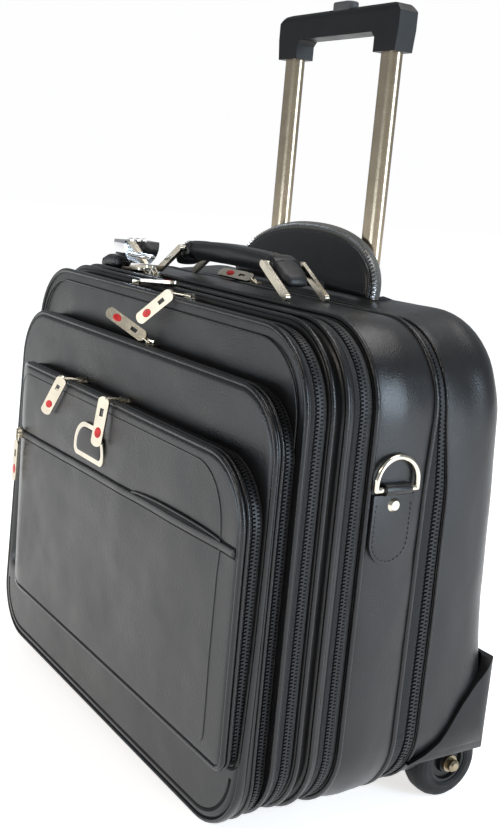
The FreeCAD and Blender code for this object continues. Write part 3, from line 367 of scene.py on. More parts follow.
def loop(half, low, high, top_corner, bottom_corner, arc=14, across=44, up=34):
    """Rounded rectangle as (x, z, normal x, normal z), from the bottom middle, anticlockwise."""
    points = []

    def line(a, b, count, normal):
        for k in range(count):
            t = k / count
            points.append((a[0] + (b[0] - a[0]) * t, a[1] + (b[1] - a[1]) * t, *normal))

    def corner(cx, cz, r, start):
        for k in range(arc):
            turn = math.radians(start + 90.0 * k / arc)
            c, s = math.cos(turn), math.sin(turn)
            points.append((cx + r * c, cz + r * s, c, s))

    rb, rt = bottom_corner, top_corner
    line((0, low), (half - rb, low), across // 2, (0, -1))
    corner(half - rb, low + rb, rb, -90)
    line((half, low + rb), (half, high - rt), up, (1, 0))
    corner(half - rt, high - rt, rt, 0)
    line((half - rt, high), (-half + rt, high), across, (0, 1))
    corner(-half + rt, high - rt, rt, 90)
    line((-half, high - rt), (-half, low + rb), up, (-1, 0))
    corner(-half + rb, low + rb, rb, 180)
    line((-half + rb, low), (0, low), across // 2, (0, -1))
    return points


def skin(rings, closed=True, capped=False):
    """Vertices and faces over rings of equal length."""
    count = len(rings[0])
    verts = [p for ring in rings for p in ring]
    faces = []
    for r in range(len(rings) - 1):
        for k in range(count if closed else count - 1):
            a = r * count + k
            b = r * count + (k + 1) % count
            faces.append((a, b, b + count, a + count))
    if capped:
        base = (len(rings) - 1) * count
        faces.append(tuple(range(count))[::-1])
        faces.append(tuple(range(base, base + count)))
    return verts, faces


def solid(name, rings, material, body, slot="leather"):
    """Piece over rings with both ends capped."""
    return new_object(name, *skin(rings, capped=True), material, body, slot)


def band(name, outline, profile, material, body, slot, shift=None):
    """Sweeps a closed (y, outward offset) profile round a loop; shift moves y by place (x, z)."""
    rings = []
    for y, offset in profile:
        ring = [(x + nx * offset, y, z + nz * offset) for x, z, nx, nz in outline]
        if shift:
            ring = [(x, y + shift(x, y, z), z) for x, y, z in ring]
        rings.append(ring)
    rings.append(rings[0])
    verts, faces = skin(rings)
    last = len(profile) * len(outline)
    verts = verts[:last]
    faces = [tuple(v - last if v >= last else v for v in face) for face in faces]
    return new_object(name, verts, faces, material, body, slot)


def piping(name, outline, y, offset, radius, body, shift=None):
    """Round leather cord sewn in along a loop."""
    turns = [2 * math.pi * k / 10 for k in range(10)]
    profile = [(y + radius * math.cos(a), offset + radius * math.sin(a)) for a in turns]
    return band(name, outline, profile, LEATHER_TRIM, body, "leather", shift)


# The six faces of a box whose corners run through its three axes in turn.
BOX_FACES = ((0, 1, 3, 2), (4, 6, 7, 5), (0, 4, 5, 1), (2, 3, 7, 6), (0, 2, 6, 4), (1, 5, 7, 3))


def coil(name, path, body, shift=None, pitch=1.9, material=TEETH, size=1.0):
    """Interlocked zip teeth along a path of (centre, outward normal) pairs, across Y."""
    verts, faces = [], []
    carried, side = 0.0, 1
    for (a, na), (b, nb) in zip(path, path[1:]):
        run = b - a
        length = run.length
        along = run.normalized() if length else Vector((1, 0, 0))
        while carried < length:
            t = carried / length
            normal = na.lerp(nb, t).normalized()
            centre = a + run * t + Vector((0, side * 0.75 * size, 0))
            if shift:
                centre.y += shift(*centre)
            base = len(verts)
            for dn in (-0.8, 0.8):
                for dy in (-1.5, 1.5):
                    for da in (-0.62, 0.62):
                        k = size * (0.8 if dn > 0 else 1.0)
                        offset = along * da * k + Vector((0, dy * k, 0)) + normal * dn * size
                        verts.append(tuple(centre + offset))
            faces += [tuple(base + k for k in face) for face in BOX_FACES]
            carried += pitch / 2
            side = -side
        carried -= length
    return new_object(name, verts, faces, material, body, "zip_tape", smooth=False)


def zip_run(name, outline, y_low, y_high, inset, body, coil_y=None, shift=None, size=1.3):
    """Zip: two tapes, each with a raised edge, and a coil of interlocked teeth between them."""
    middle = (y_low + y_high) / 2 if coil_y is None else coil_y
    top = -inset
    profile = [(y_low, top - 2), (y_low, top - 0.4), (y_low + 0.5, top)]
    left_edge = ((-3.2, 0), (-2.8, 0.5), (-2.3, 0), (-1.9, -0.5))
    right_edge = ((1.9, -0.5), (2.3, 0), (2.8, 0.5), (3.2, 0))
    profile += [(middle + across * size, top + lift) for across, lift in left_edge + right_edge]
    profile += [(y_high - 0.5, top), (y_high, top - 0.4), (y_high, top - 2)]
    tapes = band(name + "_tapes", outline, profile, TAPE, body, "zip_tape", shift)
    path = []
    for x, z, nx, nz in outline:
        normal = Vector((nx, 0, nz))
        path.append((Vector((x, middle, z)) + normal * (top + 0.25), normal))
    coil(name + "_coil", path + path[:1], body, shift, pitch=1.9 * size, size=size)
    return tapes


def wrinkle(x, y, z, size, amount, seed=0.0):
    """Slow uneven height of soft leather at a point."""
    point = Vector((x / size + seed, y / size, z / size))
    return amount * noise.fractal(point, 0.9, 2.1, 3)


# Thickness of the padded walls.
WALL = 3.5


def tray(name, outline, y_face, y_rear, edge, bulge, material, body, seed, shift=None, extra=None):
    """Padded front wall with a rolled edge and a short rim, as one closed soft shell."""
    centre_z = sum(p[1] for p in outline) / len(outline)
    inner = [(x - nx * WALL, z - nz * WALL) for x, z, nx, nz in outline]
    rings = [[(x, y_rear, z) for x, z in inner]]
    for k in range(4):
        y = y_rear + (y_face + edge - y_rear) * k / 3
        rings.append([(x, y, z) for x, z, nx, nz in outline])
    for k in range(1, 8):
        turn = math.pi / 2 * k / 7
        y = y_face + edge - edge * math.sin(turn)
        inset = edge * (1 - math.cos(turn))
        rings.append([(x - nx * inset, y, z - nz * inset) for x, z, nx, nz in outline])
    face = rings[-1]
    steps = 46

    def surface(px, pz, t):
        fade = min(1.0, (1 - t) * 7)
        lift = bulge * (1 - t ** 2.6) + wrinkle(px, 0, pz, 85, 0.8, seed) * fade
        if extra:
            lift += extra(px, pz) * min(1.0, (1 - t) * 14)
        return (px, y_face - lift, pz)

    for k in range(1, steps):
        t = 1 - k / steps
        rings.append([surface(x * t, centre_z + (z - centre_z) * t, t) for x, y, z in face])
    verts, faces = skin(rings)
    count = len(face)
    verts.append(surface(0, centre_z, 0))
    last = (len(rings) - 1) * count
    faces += [(last + k, last + (k + 1) % count, len(verts) - 1) for k in range(count)]
    y_inner = y_face + edge * 0.4 + WALL * 0.6
    base = len(verts)
    verts += [(x, y_inner, z) for x, z in inner]
    faces += [(base + k, base + (k + 1) % count, (k + 1) % count, k) for k in range(count)]
    verts.append((0, y_inner, centre_z))
    faces += [(base + (k + 1) % count, base + k, len(verts) - 1) for k in range(count)]
    if shift:
        verts = [(x, y + shift(x, y, z), z) for x, y, z in verts]
    return new_object(name, verts, faces, material, body, "leather")


def rolled_edge(name, path, radius, body, sides):
    """Round rolled edge of leather along a path of points."""
    path = [Vector(p) for p in path]
    turns = [2 * math.pi * s / sides for s in range(sides)]
    rings = []
    normal = None
    for k, p in enumerate(path):
        way = (path[min(k + 1, len(path) - 1)] - path[max(k - 1, 0)]).normalized()
        if normal is None:
            normal = way.orthogonal().normalized()
        else:
            normal = (normal - way * normal.dot(way)).normalized()
        other = way.cross(normal)
        rings.append([tuple(p + (normal * math.cos(a) + other * math.sin(a)) * radius) for a in turns])
    sharpen(solid(name, rings, LEATHER_TRIM, body), 50)


def soft_section(x, y, z, wide, thick, power, sides):
    """Ring across X with rounded corners, squarer where the power is lower."""
    ring = []
    for s in range(sides):
        turn = 2 * math.pi * s / sides
        c, q = math.cos(turn), math.sin(turn)
        across = math.copysign(abs(c) ** power, c) * wide
        up = math.copysign(abs(q) ** power, q) * thick
        ring.append((x, y + across, z + up))
    return ring


# ---------------------------------------------------------------- the case's layers

def layer_loop(node, top_corner, bottom_corner, sides=0.0, below=0.0, above=0.0):
    """Loop round a CAD layer, drawn in from its sides, its bottom and its top."""
    low, high = cad(node)
    return loop(high[0] - sides, low[2] + below, high[2] - above, top_corner, bottom_corner)


CASE = layer_loop("front_lid", CORNER, CORNER)
PANEL = layer_loop("front_panel", 55, 55)
MID = layer_loop("mid_pocket", 44, 44)
SMALL = layer_loop("small_pocket", 45, 9)


def smooth_step(a, b, x):
    t = max(0.0, min(1.0, (x - a) / (b - a)))
    return t * t * (3 - 2 * t)


def mid_lean(x, y, z):
    """The filled mid pocket bulges forward towards its bottom, more at the left than the right."""
    rise = max(0.0, (300 - z) / 283) ** (1 + 1.6 * smooth_step(20, 190, x))
    front = max(0.0, min(1.0, (-94 - y) / 6.5))
    hidden = smooth_step(2, 8, 202 - abs(x)) * smooth_step(0, 8, z - 76) * smooth_step(0, 8, 268 - z)
    return -8.5 * rise * front * (1 - hidden)


def curl_left_end(obj):
    """The small pocket's left end is narrower and curls back to the pocket behind it."""
    for v in obj.data.vertices:
        x, y = v.co.x / MM, v.co.y / MM
        if x < -120:
            x = -120 + (x + 120) * 70 / 84
        turn = max(0.0, (-152 - x) / 38) ** 1.4
        v.co.x, v.co.y = x * MM, (y + 12 * turn * max(0.0, -101 - y) / 17) * MM


def front_of(obj):
    """Function giving an object's frontmost y at (x, z), in millimetres."""
    tree = BVHTree.FromPolygons([v.co for v in obj.data.vertices], [p.vertices for p in obj.data.polygons])

    def front(x, z):
        start = Vector((x * MM, -0.3, z * MM))
        place = tree.ray_cast(start, Vector((0, 1, 0)))[0]
        return place.y / MM if place else 0.0

    return front


def strip(name, front, path, profile, material, body, width=None):
    """Raised strip along (x, z) points on a front face; profile is (across, height) pairs."""
    rings = []
    for k, (x, z) in enumerate(path):
        before, after = path[max(0, k - 1)], path[min(len(path) - 1, k + 1)]
        run = Vector((after[0] - before[0], after[1] - before[1])).normalized()
        side = Vector((-run.y, run.x))
        scale = width(k / (len(path) - 1)) if width else 1.0
        ring = []
        for across, height in profile:
            px, pz = x + side.x * across * scale, z + side.y * across * scale
            ring.append((px, front(px, pz) - height * min(1.0, scale + 0.3), pz))
        rings.append(ring)
    solid(name, rings, material, body)


def thread(name, places, body, radius=0.35, length=2.2):
    """Row of stitches: short rounded bars at (place, direction) pairs."""
    verts, faces = [], []
    for place, way in places:
        way = way.normalized()
        side = way.orthogonal().normalized()
        other = way.cross(side)
        base = len(verts)
        for t, r in ((-0.5, 0.3), (-0.3, 1), (0.3, 1), (0.5, 0.3)):
            for s in range(6):
                turn = math.pi * s / 3
                ring = (side * math.cos(turn) + other * math.sin(turn)) * radius * r
                verts.append(tuple(place + way * length * t + ring))
        for r in range(3):
            for s in range(6):
                a, b = base + r * 6 + s, base + r * 6 + (s + 1) % 6
                faces.append((a, b, b + 6, a + 6))
        faces.append(tuple(base + s for s in range(6)))
        faces.append(tuple(base + 18 + s for s in range(6)))
    return new_object(name, verts, faces, SEAM, body, "leather")


# Section of a dark strip that paints the shade in a fold: (across, height) pairs.
SHADE_GROOVE = [(-1.3, -0.3), (-1.3, 0.12), (1.3, 0.12), (1.3, -0.3)]


def make_front_flap():
    """Front panel with the mid pocket on it, and the small pocket on that."""
    body = "front_flap"
    panel = tray("front_panel_skin", PANEL, PANEL_FRONT, PANEL_REAR, 2.0, 1.5, LEATHER, body, 3.1)
    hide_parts("front_panel")
    piping("front_panel_piping", PANEL, PANEL_FRONT + 0.5, 0.2, 2.0, body)
    inner = layer_loop("front_panel", 48, 48, 8, 8, 8)
    piping("front_panel_seam", inner, PANEL_FRONT - 1.2, 0, 0.7, body)

    rear = MID_REAR - 10
    mid = tray("mid_pocket_skin", MID, MID_FRONT, rear, 5.0, 2.0, LEATHER_SOFT, body, 8.4, mid_lean)
    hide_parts("mid_pocket")
    piping("mid_pocket_piping", MID, MID_FRONT + 2.0, -0.2, 2.0, body, mid_lean)
    piping("mid_pocket_rear_piping", MID, rear - 0.4, 0.2, 1.4, body)
    front = front_of(mid)
    # A dark strip paints the shade in the fold along the mid pocket's bottom.
    low = layer_loop("mid_pocket", 37, 37, 8, 7.5, 7)
    line = [(x, z) for x, z, nx, nz in low[-60:] + low[:60] if z < 64]
    strip("mid_low_groove_shade", front, line, SHADE_GROOVE, SHADOW, body)
    # A dark strip paints the shadow under the small pocket's bottom edge.
    around = layer_loop("small_pocket", 45, 9, below=-2.4)
    under = [(x, z) for x, z, nx, nz in around if z < 73 and x > -184]
    start = next(k for k, place in enumerate(under) if place[0] < 0)
    strip("small_pocket_shadow", front, under[start:] + under[:start], SHADE_GROOVE, SHADOW, body)
    tapes = zip_run("mid_pocket_zip", MID, rear + 0.5, MID_REAR, 1.5, body)
    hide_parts("mid_zip_tape")
    make_small_pocket(body)


def welt_line(x):
    """Height of the slash pocket's welt across the small pocket."""
    return 210.5 + 6.5 * (x + 150) / 350


def make_small_pocket(body):
    """Outer pocket: its zip, and across its face the slash pocket's welt and open mouth."""

    def flats(x, z):
        badge = math.exp(-(((x - BADGE_X) / 38) ** 2) - ((z - BADGE_Z) / 26) ** 2)
        return -0.9 * max(badge, math.exp(-(((z - welt_line(x)) / 12) ** 2)))

    face, rear, soft = SMALL_FRONT, SMALL_REAR - 11, LEATHER_SOFT
    small = tray("small_pocket_skin", SMALL, face, rear, 5.0, 0.7, soft, body, 1.7, extra=flats)
    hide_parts("small_pocket")
    rim = piping("small_pocket_piping", SMALL, face + 1.8, -0.4, 2.1, body)
    rear_rim = piping("small_pocket_rear_piping", SMALL, rear - 0.4, 0.2, 1.4, body)
    tapes = zip_run("small_pocket_zip", SMALL, rear + 0.5, SMALL_REAR, 1.5, body)
    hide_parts("small_zip_tape")
    for obj in (small, rim, rear_rim, tapes, bpy.data.objects["small_pocket_zip_coil"]):
        curl_left_end(obj)
    front = front_of(small)
    make_slash_pocket(front, body)
    rim_line = layer_loop("small_pocket", 37, 8, 10, 9, 9)
    seam = [(x * 0.93, z) for x, z, nx, nz in rim_line if z > 80]
    ridge = [(-0.8, -0.4), (-0.4, 0.5), (0.4, 0.5), (0.8, -0.4)]
    strip("small_rim_seam", front, seam, ridge, LEATHER_SOFT, body)
    make_badge_face(body)


def make_slash_pocket(front, body):
    """Welt across the small pocket between two grooves of painted shade; it gapes a little at its right end,
    with painted shade in its mouth.
    """
    path = [(-176 + k * 4, welt_line(-176 + k * 4)) for k in range(95)]
    welt = [(-2.7, -0.8), (-2.7, 0.7), (-2.2, 1.1), (2.2, 1.1), (2.7, 0.7), (2.7, -0.8)]
    strip("slash_welt", front, path, welt, LEATHER_SOFT, body)
    # The two grooves beside the welt: dark strips of painted shade.
    for index, across in enumerate((-3.3, 3.3)):
        groove = [(across - 0.7, -0.5), (across - 0.7, 0.14), (across + 0.7, 0.14), (across + 0.7, -0.5)]
        strip("slash_groove_shade_%d" % index, front, path, groove, SHADOW, body)

    def gape(t):
        return math.sin(math.pi * t) ** 0.7

    # The gaping mouth at the right end: a dark strip paints its dark inside and the shade in it.
    mouth = [(60 + k * 4, welt_line(60 + k * 4) + 3.0) for k in range(31)]
    lens = [(-0.2, 0.3), (-0.2, 0.9), (3.4, 0.9), (3.4, 0.3)]
    strip("slash_mouth_shade", front, mouth, lens, SHADOW, body, gape)
    lip = []
    for k in range(31):
        t = k / 30
        x = 58 + 124 * t
        z = welt_line(x) + 3.2 + 3.6 * gape(t)
        lip.append((x, front(x, z) - 0.5 - 0.7 * math.sin(math.pi * t), z))
    rolled_edge("slash_lip", lip, 1.0, body, 8)


def make_badge_face(body):
    """Dark domed plate in the badge's rim, with nothing on it."""
    (left, rim_y, bottom), (right, _, top) = cad("badge")
    low, high, half = bottom + 3.8, top - 3.7, (right - left) / 2 - 4.8
    outline = [(x, z) for x, z, nx, nz in loop(half, low, high, 16.5, 4.0, arc=10, across=12, up=4)]
    centre_z = (low + high) / 2
    rings = []
    for t, lift in ((1.0, 0), (1.0, 0.12), (0.93, 0.25), (0.7, 0.38), (0.35, 0.45), (0.05, 0.48)):
        y = rim_y + 0.08 - lift
        rings.append([(BADGE_X + x * t, y, centre_z + (z - centre_z) * t) for x, z in outline])
    solid("badge_face", rings, BADGE_FACE, body, "black_plastic")


def make_main_lid():
    """Lid of the main compartment: a leather band with a groove, closed by a lined board."""
    body = "main_lid"
    profile = [
        (LID_FRONT, -9),
        (LID_FRONT, -2.5),
        (LID_FRONT + 0.8, -1.6),
        (LID_FRONT + 3.8, -1.8),
        (LID_FRONT + 5.2, -4),
        (LID_FRONT + 6.5, -7),
        (LID_FRONT + 8.6, -7),
        (LID_FRONT + 10, -4),
        (LID_FRONT + 11.5, -0.6),
        (LID_REAR - 1.5, -0.2),
        (LID_REAR, -1.4),
        (LID_REAR, -10),
    ]
    lid = band("front_lid_skin", CASE, profile, LEATHER, body, "leather")
    board = [(x - nx * 9, z - nz * 9) for x, z, nx, nz in CASE]
    rings = [[(x, y, z) for x, z in board] for y in (LID_FRONT + 6, LID_FRONT + 9)]
    solid("front_lid_board", rings, LINING, body)
    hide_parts("front_lid")
    piping("lid_front_piping", CASE, LID_FRONT + 2.2, -1.2, 1.9, body)
    piping("lid_rear_piping", CASE, LID_REAR - 6.5, 0.2, 2.0, body)
    middle = (PANEL_REAR + LID_FRONT) / 2
    tapes = zip_run("front_zip", PANEL, PANEL_REAR + 0.3, LID_FRONT - 0.3, 1.0, body, middle)
    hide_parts("front_zip_tape")


def gusset_edge(z):
    """How far the gusset's rear edge stands off its plane."""
    return -1.4 + 2.3 * smooth_step(246, 314, z)


def rear_edge(x, z):
    """How far the rear section's front edge stands off its plane; it swells at the top corners."""
    swell = smooth_step(240, 318, z) * smooth_step(90, 150, abs(x))
    return 1.2 * (1 - smooth_step(142, 244, z)) - 10.0 * swell


def gusset_shift(x, y, z):
    """Moves the gusset's rear edge, and less and less of the skin in front of it."""
    return gusset_edge(z) * smooth_step(-20, 20, y)


def rear_zip_shift(x, y, z):
    """Follows the edges on both sides of the rear zip, and bows forward in the top's middle."""
    t = (y - GUSSET_REAR) / (REAR_FRONT - GUSSET_REAR)
    middle = 4 * max(0.0, t * (1 - t)) * smooth_step(330, 350, z) * smooth_step(150, 90, abs(x))
    return gusset_edge(z) * (1 - t) + rear_edge(x, z) * t - 3.2 * middle


def rear_shift(x, y, z):
    """Moves the rear section's front edge, and less and less of the skin behind it."""
    return rear_edge(x, z) * (1 - smooth_step(38, 74, y))


def make_main_section():
    """Gusset, with the main zip in front of it and the rear zip behind it."""
    body = "case"
    profile = [(GUSSET_FRONT, -3.5), (GUSSET_FRONT, 0)]
    span = GUSSET_REAR - GUSSET_FRONT
    for k in range(1, 14):
        t = k / 14
        profile.append((GUSSET_FRONT + span * t, 3.2 * math.sin(math.pi * t) ** 0.7))
    profile += [(GUSSET_REAR, 0), (GUSSET_REAR, -3.5)]
    gusset = band("main_gusset_skin", CASE, profile, LEATHER, body, "leather", gusset_shift)
    for v in gusset.data.vertices:
        x, y, z = (c / MM for c in v.co)
        inside = min(1.0, max(0.0, (y - GUSSET_FRONT) * (GUSSET_REAR - y) / 300))
        side = Vector((x, z - MIDDLE)).normalized()
        crease = wrinkle(x, y * 2.2, z, 60, 0.9, 5.5) * inside
        v.co += Vector((side.x * crease, 0, side.y * crease)) * MM
    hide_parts("main_gusset")
    piping("gusset_front_piping", CASE, GUSSET_FRONT + 1.6, 0.9, 2.1, body)
    piping("gusset_rear_piping", CASE, GUSSET_REAR - 1.6, 0.9, 2.1, body, gusset_shift)
    tapes = zip_run("main_zip", CASE, LID_REAR + 0.4, GUSSET_FRONT - 0.4, 1.5, body, -40.0)
    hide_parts("main_zip_tape")
    front, rear = GUSSET_REAR + 0.4, REAR_FRONT - 0.4
    tapes = zip_run("rear_zip", CASE, front, rear, 1.5, body, 32.5, rear_zip_shift, 1.5)
    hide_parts("rear_zip_tape")


def back_plane(z):
    """How far back the leaning rear face stands at a height."""
    return BACK_LOW + (BACK_HIGH - BACK_LOW) * max(0.0, min(1.0, (z - 30) / 298.0))


def make_rear_section():
    """Deep rear section: a soft side that rolls over into the leaning back."""
    body = "case"
    rings = []
    steps, side_share = 24, 0.55
    for k in range(steps + 1):
        s = k / steps
        rise = 6.0 * math.sin(math.pi / 2 * min(1, s * 1.3))
        base = loop(HALF - 0.5, LOW + 0.5, HIGH + 1 + rise, CORNER + 12 * smooth_step(0, 0.5, s), CORNER)
        ring = []
        for x, z, nx, nz in base:
            plane = back_plane(z)
            r = 14 + 15 * smooth_step(50, 150, z) - 4 * smooth_step(315, 362, z)
            if s < side_share:
                y = REAR_FRONT + (plane - r - REAR_FRONT) * s / side_share
                inset = 0.0
            else:
                turn = math.pi / 2 * (s - side_share) / (1 - side_share)
                y = plane - r + r * math.sin(turn)
                inset = r * (1 - math.cos(turn))
            y += rear_shift(x, y, z)
            swell = 1.4 * math.sin(math.pi * min(1, s / 0.6)) * smooth_step(345, 250, z) - inset
            crease = wrinkle(x, y * 2.0, z, 75, 0.9, 9.1) * smooth_step(0, 0.2, s)
            ring.append((x + nx * (swell + crease), y, z + nz * (swell + crease)))
        rings.append(ring)
    face = rings[-1]
    centre_z = 190.0
    for k in range(1, 28):
        t = 1 - k / 28
        ring = []
        for x, y, z in face:
            px, pz = x * t, centre_z + (z - centre_z) * t
            lift = 1.6 * (1 - t ** 2.5) + wrinkle(px, 40, pz, 90, 0.7)
            ring.append((px, back_plane(pz) + lift * min(1, (1 - t) * 6), pz))
        rings.append(ring)
    verts, faces = skin(rings)
    count = len(face)
    verts.append((0, back_plane(centre_z) + 1.6, centre_z))
    last = (len(rings) - 1) * count
    faces += [(last + k, last + (k + 1) % count, len(verts) - 1) for k in range(count)]
    shell = new_object("rear_shell_skin", verts, faces, LEATHER, body, "leather")
    modifier(shell, "SOLIDIFY", thickness=3 * MM, offset=-1.0)
    cut_rooms(shell)
    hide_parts("rear_shell")
    piping("rear_front_piping", CASE, REAR_FRONT + 1.0, 0.3, 1.2, body, rear_shift)


def block(name, low, high):
    """Plain box between two corners, to cut with."""
    mesh = bpy.data.meshes.new(name)
    form = bmesh.new()
    bmesh.ops.create_cube(form, size=1.0)
    for v in form.verts:
        v.co = Vector([(low[i] + (high[i] - low[i]) * (v.co[i] + 0.5)) * MM for i in range(3)])
    form.to_mesh(mesh)
    form.free()
    obj = bpy.data.objects.new(name, mesh)
    bpy.context.scene.collection.objects.link(obj)
    return obj


def cut_rooms(shell):
    """Opens the handle well and the two wheel housings in the rear shell."""
    low, high = cad("handle_well")
    clear, above = 0.2, HIGH + 60
    well = ((low[0] - clear, low[1] - clear, low[2] - 0.5), (high[0] + clear, high[1] + clear, above))
    tools = [block("well_tool", *well)]
    for side in (-1, 1):
        for near, far, level in ((167, 210.8, 63.1), (205.8, 245, 44.5)):
            x0, x1 = sorted((side * near, side * far))
            tools.append(block("wheel_tool", (x0, 57, -5), (x1, 151, level)))
    for tool in tools:
        modifier(shell, "BOOLEAN", object=tool, operation="DIFFERENCE", solver="EXACT")
    apply_modifiers(shell)
    for tool in tools:
        bpy.data.objects.remove(tool)


# ---------------------------------------------------------------- cover, handle pad, tabs

def arch(width, height):
    """Arch as (x, z) from right to left, with its feet at zero height."""
    points, steps = [], 48
    for k in range(steps + 1):
        turn = math.pi * k / steps
        across = math.copysign(abs(math.cos(turn)) ** 0.9, math.cos(turn))
        points.append((width * across, height * math.sin(turn) ** 0.9 if 0 < k < steps else 0.0))
    return points


def cover_place(x, y, z):
    """Point of the well cover from its own leaning frame, whose origin is its hinge."""
    s, c = math.sin(COVER_LEAN), math.cos(COVER_LEAN)
    return (x, COVER_HINGE_Y + y * c + z * s, COVER_HINGE_Z - y * s + z * c)


def make_cover():
    """Padded leather arch with a bound edge, and behind it the zip that closes it over the well."""
    body = "well_cover"
    rings = []
    for inset, y in ((1.2, 2.0), (0, 1.6), (0, -0.2), (0.6, -1.2), (2.4, -1.8)):
        rings.append([cover_place(x, y, z) for x, z in arch(93 - inset, 44 - inset)])
    for k in range(1, 16):
        t = 1 - k / 16
        ring = []
        for x, z in arch(90.6, 41.6):
            px, pz = x * t, z * t + (8 * (1 - t) if z > 0.01 else 0)
            soft = wrinkle(px, 20, pz, 60, 0.7, 4.0) * min(1, (1 - t) * 5)
            ring.append(cover_place(px, -1.8 - 1.4 * (1 - t ** 3) - soft, pz))
        rings.append(ring)
    face = solid("handle_cover_skin", rings, LEATHER, body)
    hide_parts("handle_cover")
    edge = [cover_place(x, 0.6, z) for x, z in arch(92.8, 43.8)]
    rolled_edge("cover_binding", edge, 1.9, body, 10)
    rings = []
    for inset, y in ((7.4, 1.6), (3.0, 2.6), (-1.8, 5.0), (-1.8, 5.8), (8.6, 2.6)):
        rings.append([cover_place(x, y, z) for x, z in arch(99 - inset, 50.6 - inset)])
    rings.append(rings[0])
    verts, faces = skin(rings, closed=False)
    wall = new_object("cover_zip_tape", verts, faces, MESH_TAPE, body, "zip_tape")
    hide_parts("handle_cover_zip")
    points = arch(97.4, 49.0)
    path = []
    for k, (x, z) in enumerate(points):
        before, after = points[max(0, k - 1)], points[min(len(points) - 1, k + 1)]
        run = Vector((after[0] - before[0], 0, after[1] - before[1])).normalized()
        out = Vector((run.z, 0, -run.x))
        place = Vector(cover_place(x, 2.5, z))
        path.append((place, out if out.dot(Vector((x, 0, z))) > 0 else -out))
    coil("cover_zip_teeth", path, body, pitch=3.4, material=SILVER)


def pad_ring(x):
    """Section of the carry pad at x: its middle height, half thickness and half width."""
    a = abs(x)
    fall = smooth_step(60, 88, a)
    return 387.0 - 1.2 * (a / 50) ** 2 - 10 * fall, 6.8 - 1.2 * fall, 12.8


def puff(obj, pressure, cap):
    """Fills a closed skin by a short cloth simulation, each point moving at most the cap."""
    modifier(obj, "REMESH", mode="VOXEL", voxel_size=4 * MM)
    apply_modifiers(obj)
    scene = bpy.context.scene
    cloth = modifier(obj, "CLOTH")
    cloth.settings.use_pressure = True
    cloth.settings.uniform_pressure_force = pressure
    cloth.settings.effector_weights.gravity = 0
    cloth.point_cache.frame_start, cloth.point_cache.frame_end = 1, 20
    rest = [v.co.copy() for v in obj.data.vertices]
    for number in range(1, 21):
        scene.frame_set(number)
        graph = bpy.context.evaluated_depsgraph_get()
        graph.update()
    blown = [v.co.copy() for v in obj.evaluated_get(graph).data.vertices]
    obj.modifiers.clear()
    scene.frame_set(1)
    for v, a, b in zip(obj.data.vertices, rest, blown):
        step = b - a
        v.co = a + step * min(1.0, cap * MM / max(step.length, 1e-9))
    modifier(obj, "SUBSURF", levels=1, render_levels=1)
    apply_modifiers(obj)
    obj.data.shade_smooth()


def make_carry_pad():
    """Padded carry handle with a row of stitches along each edge and a wrap near each end."""
    body = "carry_pad"
    rings = []
    for k in range(45):
        x = PAD_HALF * (k / 22 - 1)
        middle, thick, wide = pad_ring(x)
        ends = min(1.0, 0.55 + 0.45 * min(1.0, (PAD_HALF - abs(x)) / 5))
        rings.append(soft_section(x, PAD_Y, middle, wide * ends, thick * ends, 0.6, 24))
    pad = solid("carry_handle_padding", rings, LEATHER_PAD, body)
    puff(pad, 4.0, 5.0)
    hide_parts("carry_handle_pad")
    for side in (-1, 1):
        rows = []
        for k in range(48):
            x = -70 + 140 * k / 47
            middle, thick, wide = pad_ring(x)
            place = Vector((x, PAD_Y + side * (wide - 1.8), middle + thick + 0.15))
            rows.append((place, Vector((1, 0, -0.02 * x / 10))))
        thread("pad_stitches_%s" % ("front" if side < 0 else "rear"), rows, body)
    for side in (-1, 1):
        rings = []
        for k in range(7):
            x = side * (56 + 2.2 * k)
            middle, thick, wide = pad_ring(x)
            grow = 0.9 if 0 < k < 6 else 0.1
            rings.append(soft_section(x, PAD_Y, middle, wide + grow, thick + grow, 0.6, 28))
        solid("pad_wrap_" + ("left" if side < 0 else "right"), rings, LEATHER_TRIM, body)


def soften(node, body, width, material):
    """Copy of a CAD piece with rolled edges, which stands for it."""
    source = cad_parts[node]
    obj = bpy.data.objects.new(node + "_leather", source.data.copy())
    obj.matrix_world = source.matrix_world.copy()
    bpy.context.scene.collection.objects.link(obj)
    obj.data.materials.clear()
    obj.data.materials.append(material)
    form = bmesh.new()
    form.from_mesh(obj.data)
    bmesh.ops.remove_doubles(form, verts=form.verts, dist=1e-5)
    bmesh.ops.dissolve_limit(form, angle_limit=math.radians(2), verts=form.verts, edges=form.edges)
    form.to_mesh(obj.data)
    form.free()
    modifier(obj, "BEVEL", width=width * MM, segments=3, limit_method="ANGLE", angle_limit=math.radians(40))
    apply_modifiers(obj)
    obj.data.shade_smooth()
    sharpen(obj, 50)
    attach(obj, body)
    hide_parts(node)


def make_tabs():
    """Leather tabs of the strap rings, stitched along both sides and round the lower end."""
    tab_half, seam_half, tab_face = 17.0, 14.6, 4.8
    low = cad("d_ring_tab_left")[0][2] + tab_half
    for side, name in ((-1, "left"), (1, "right")):
        soften("d_ring_tab_" + name, "case", 0.9, LEATHER)
        x = side * (HALF + tab_face)
        places = []
        for k in range(8):
            z = low + k * 3.4
            places += [(Vector((x, TAB_Y + s * seam_half, z)), Vector((0, 0, 1))) for s in (-1, 1)]
        for k in range(1, 13):
            turn = math.pi * k / 13
            place = Vector((x, TAB_Y + seam_half * math.cos(turn), low - seam_half * math.sin(turn)))
            places.append((place, Vector((0, -math.sin(turn), -math.cos(turn)))))
        thread("tab_stitches_" + name, places, "case", 0.4, 2.3)


# ---------------------------------------------------------------- hardware

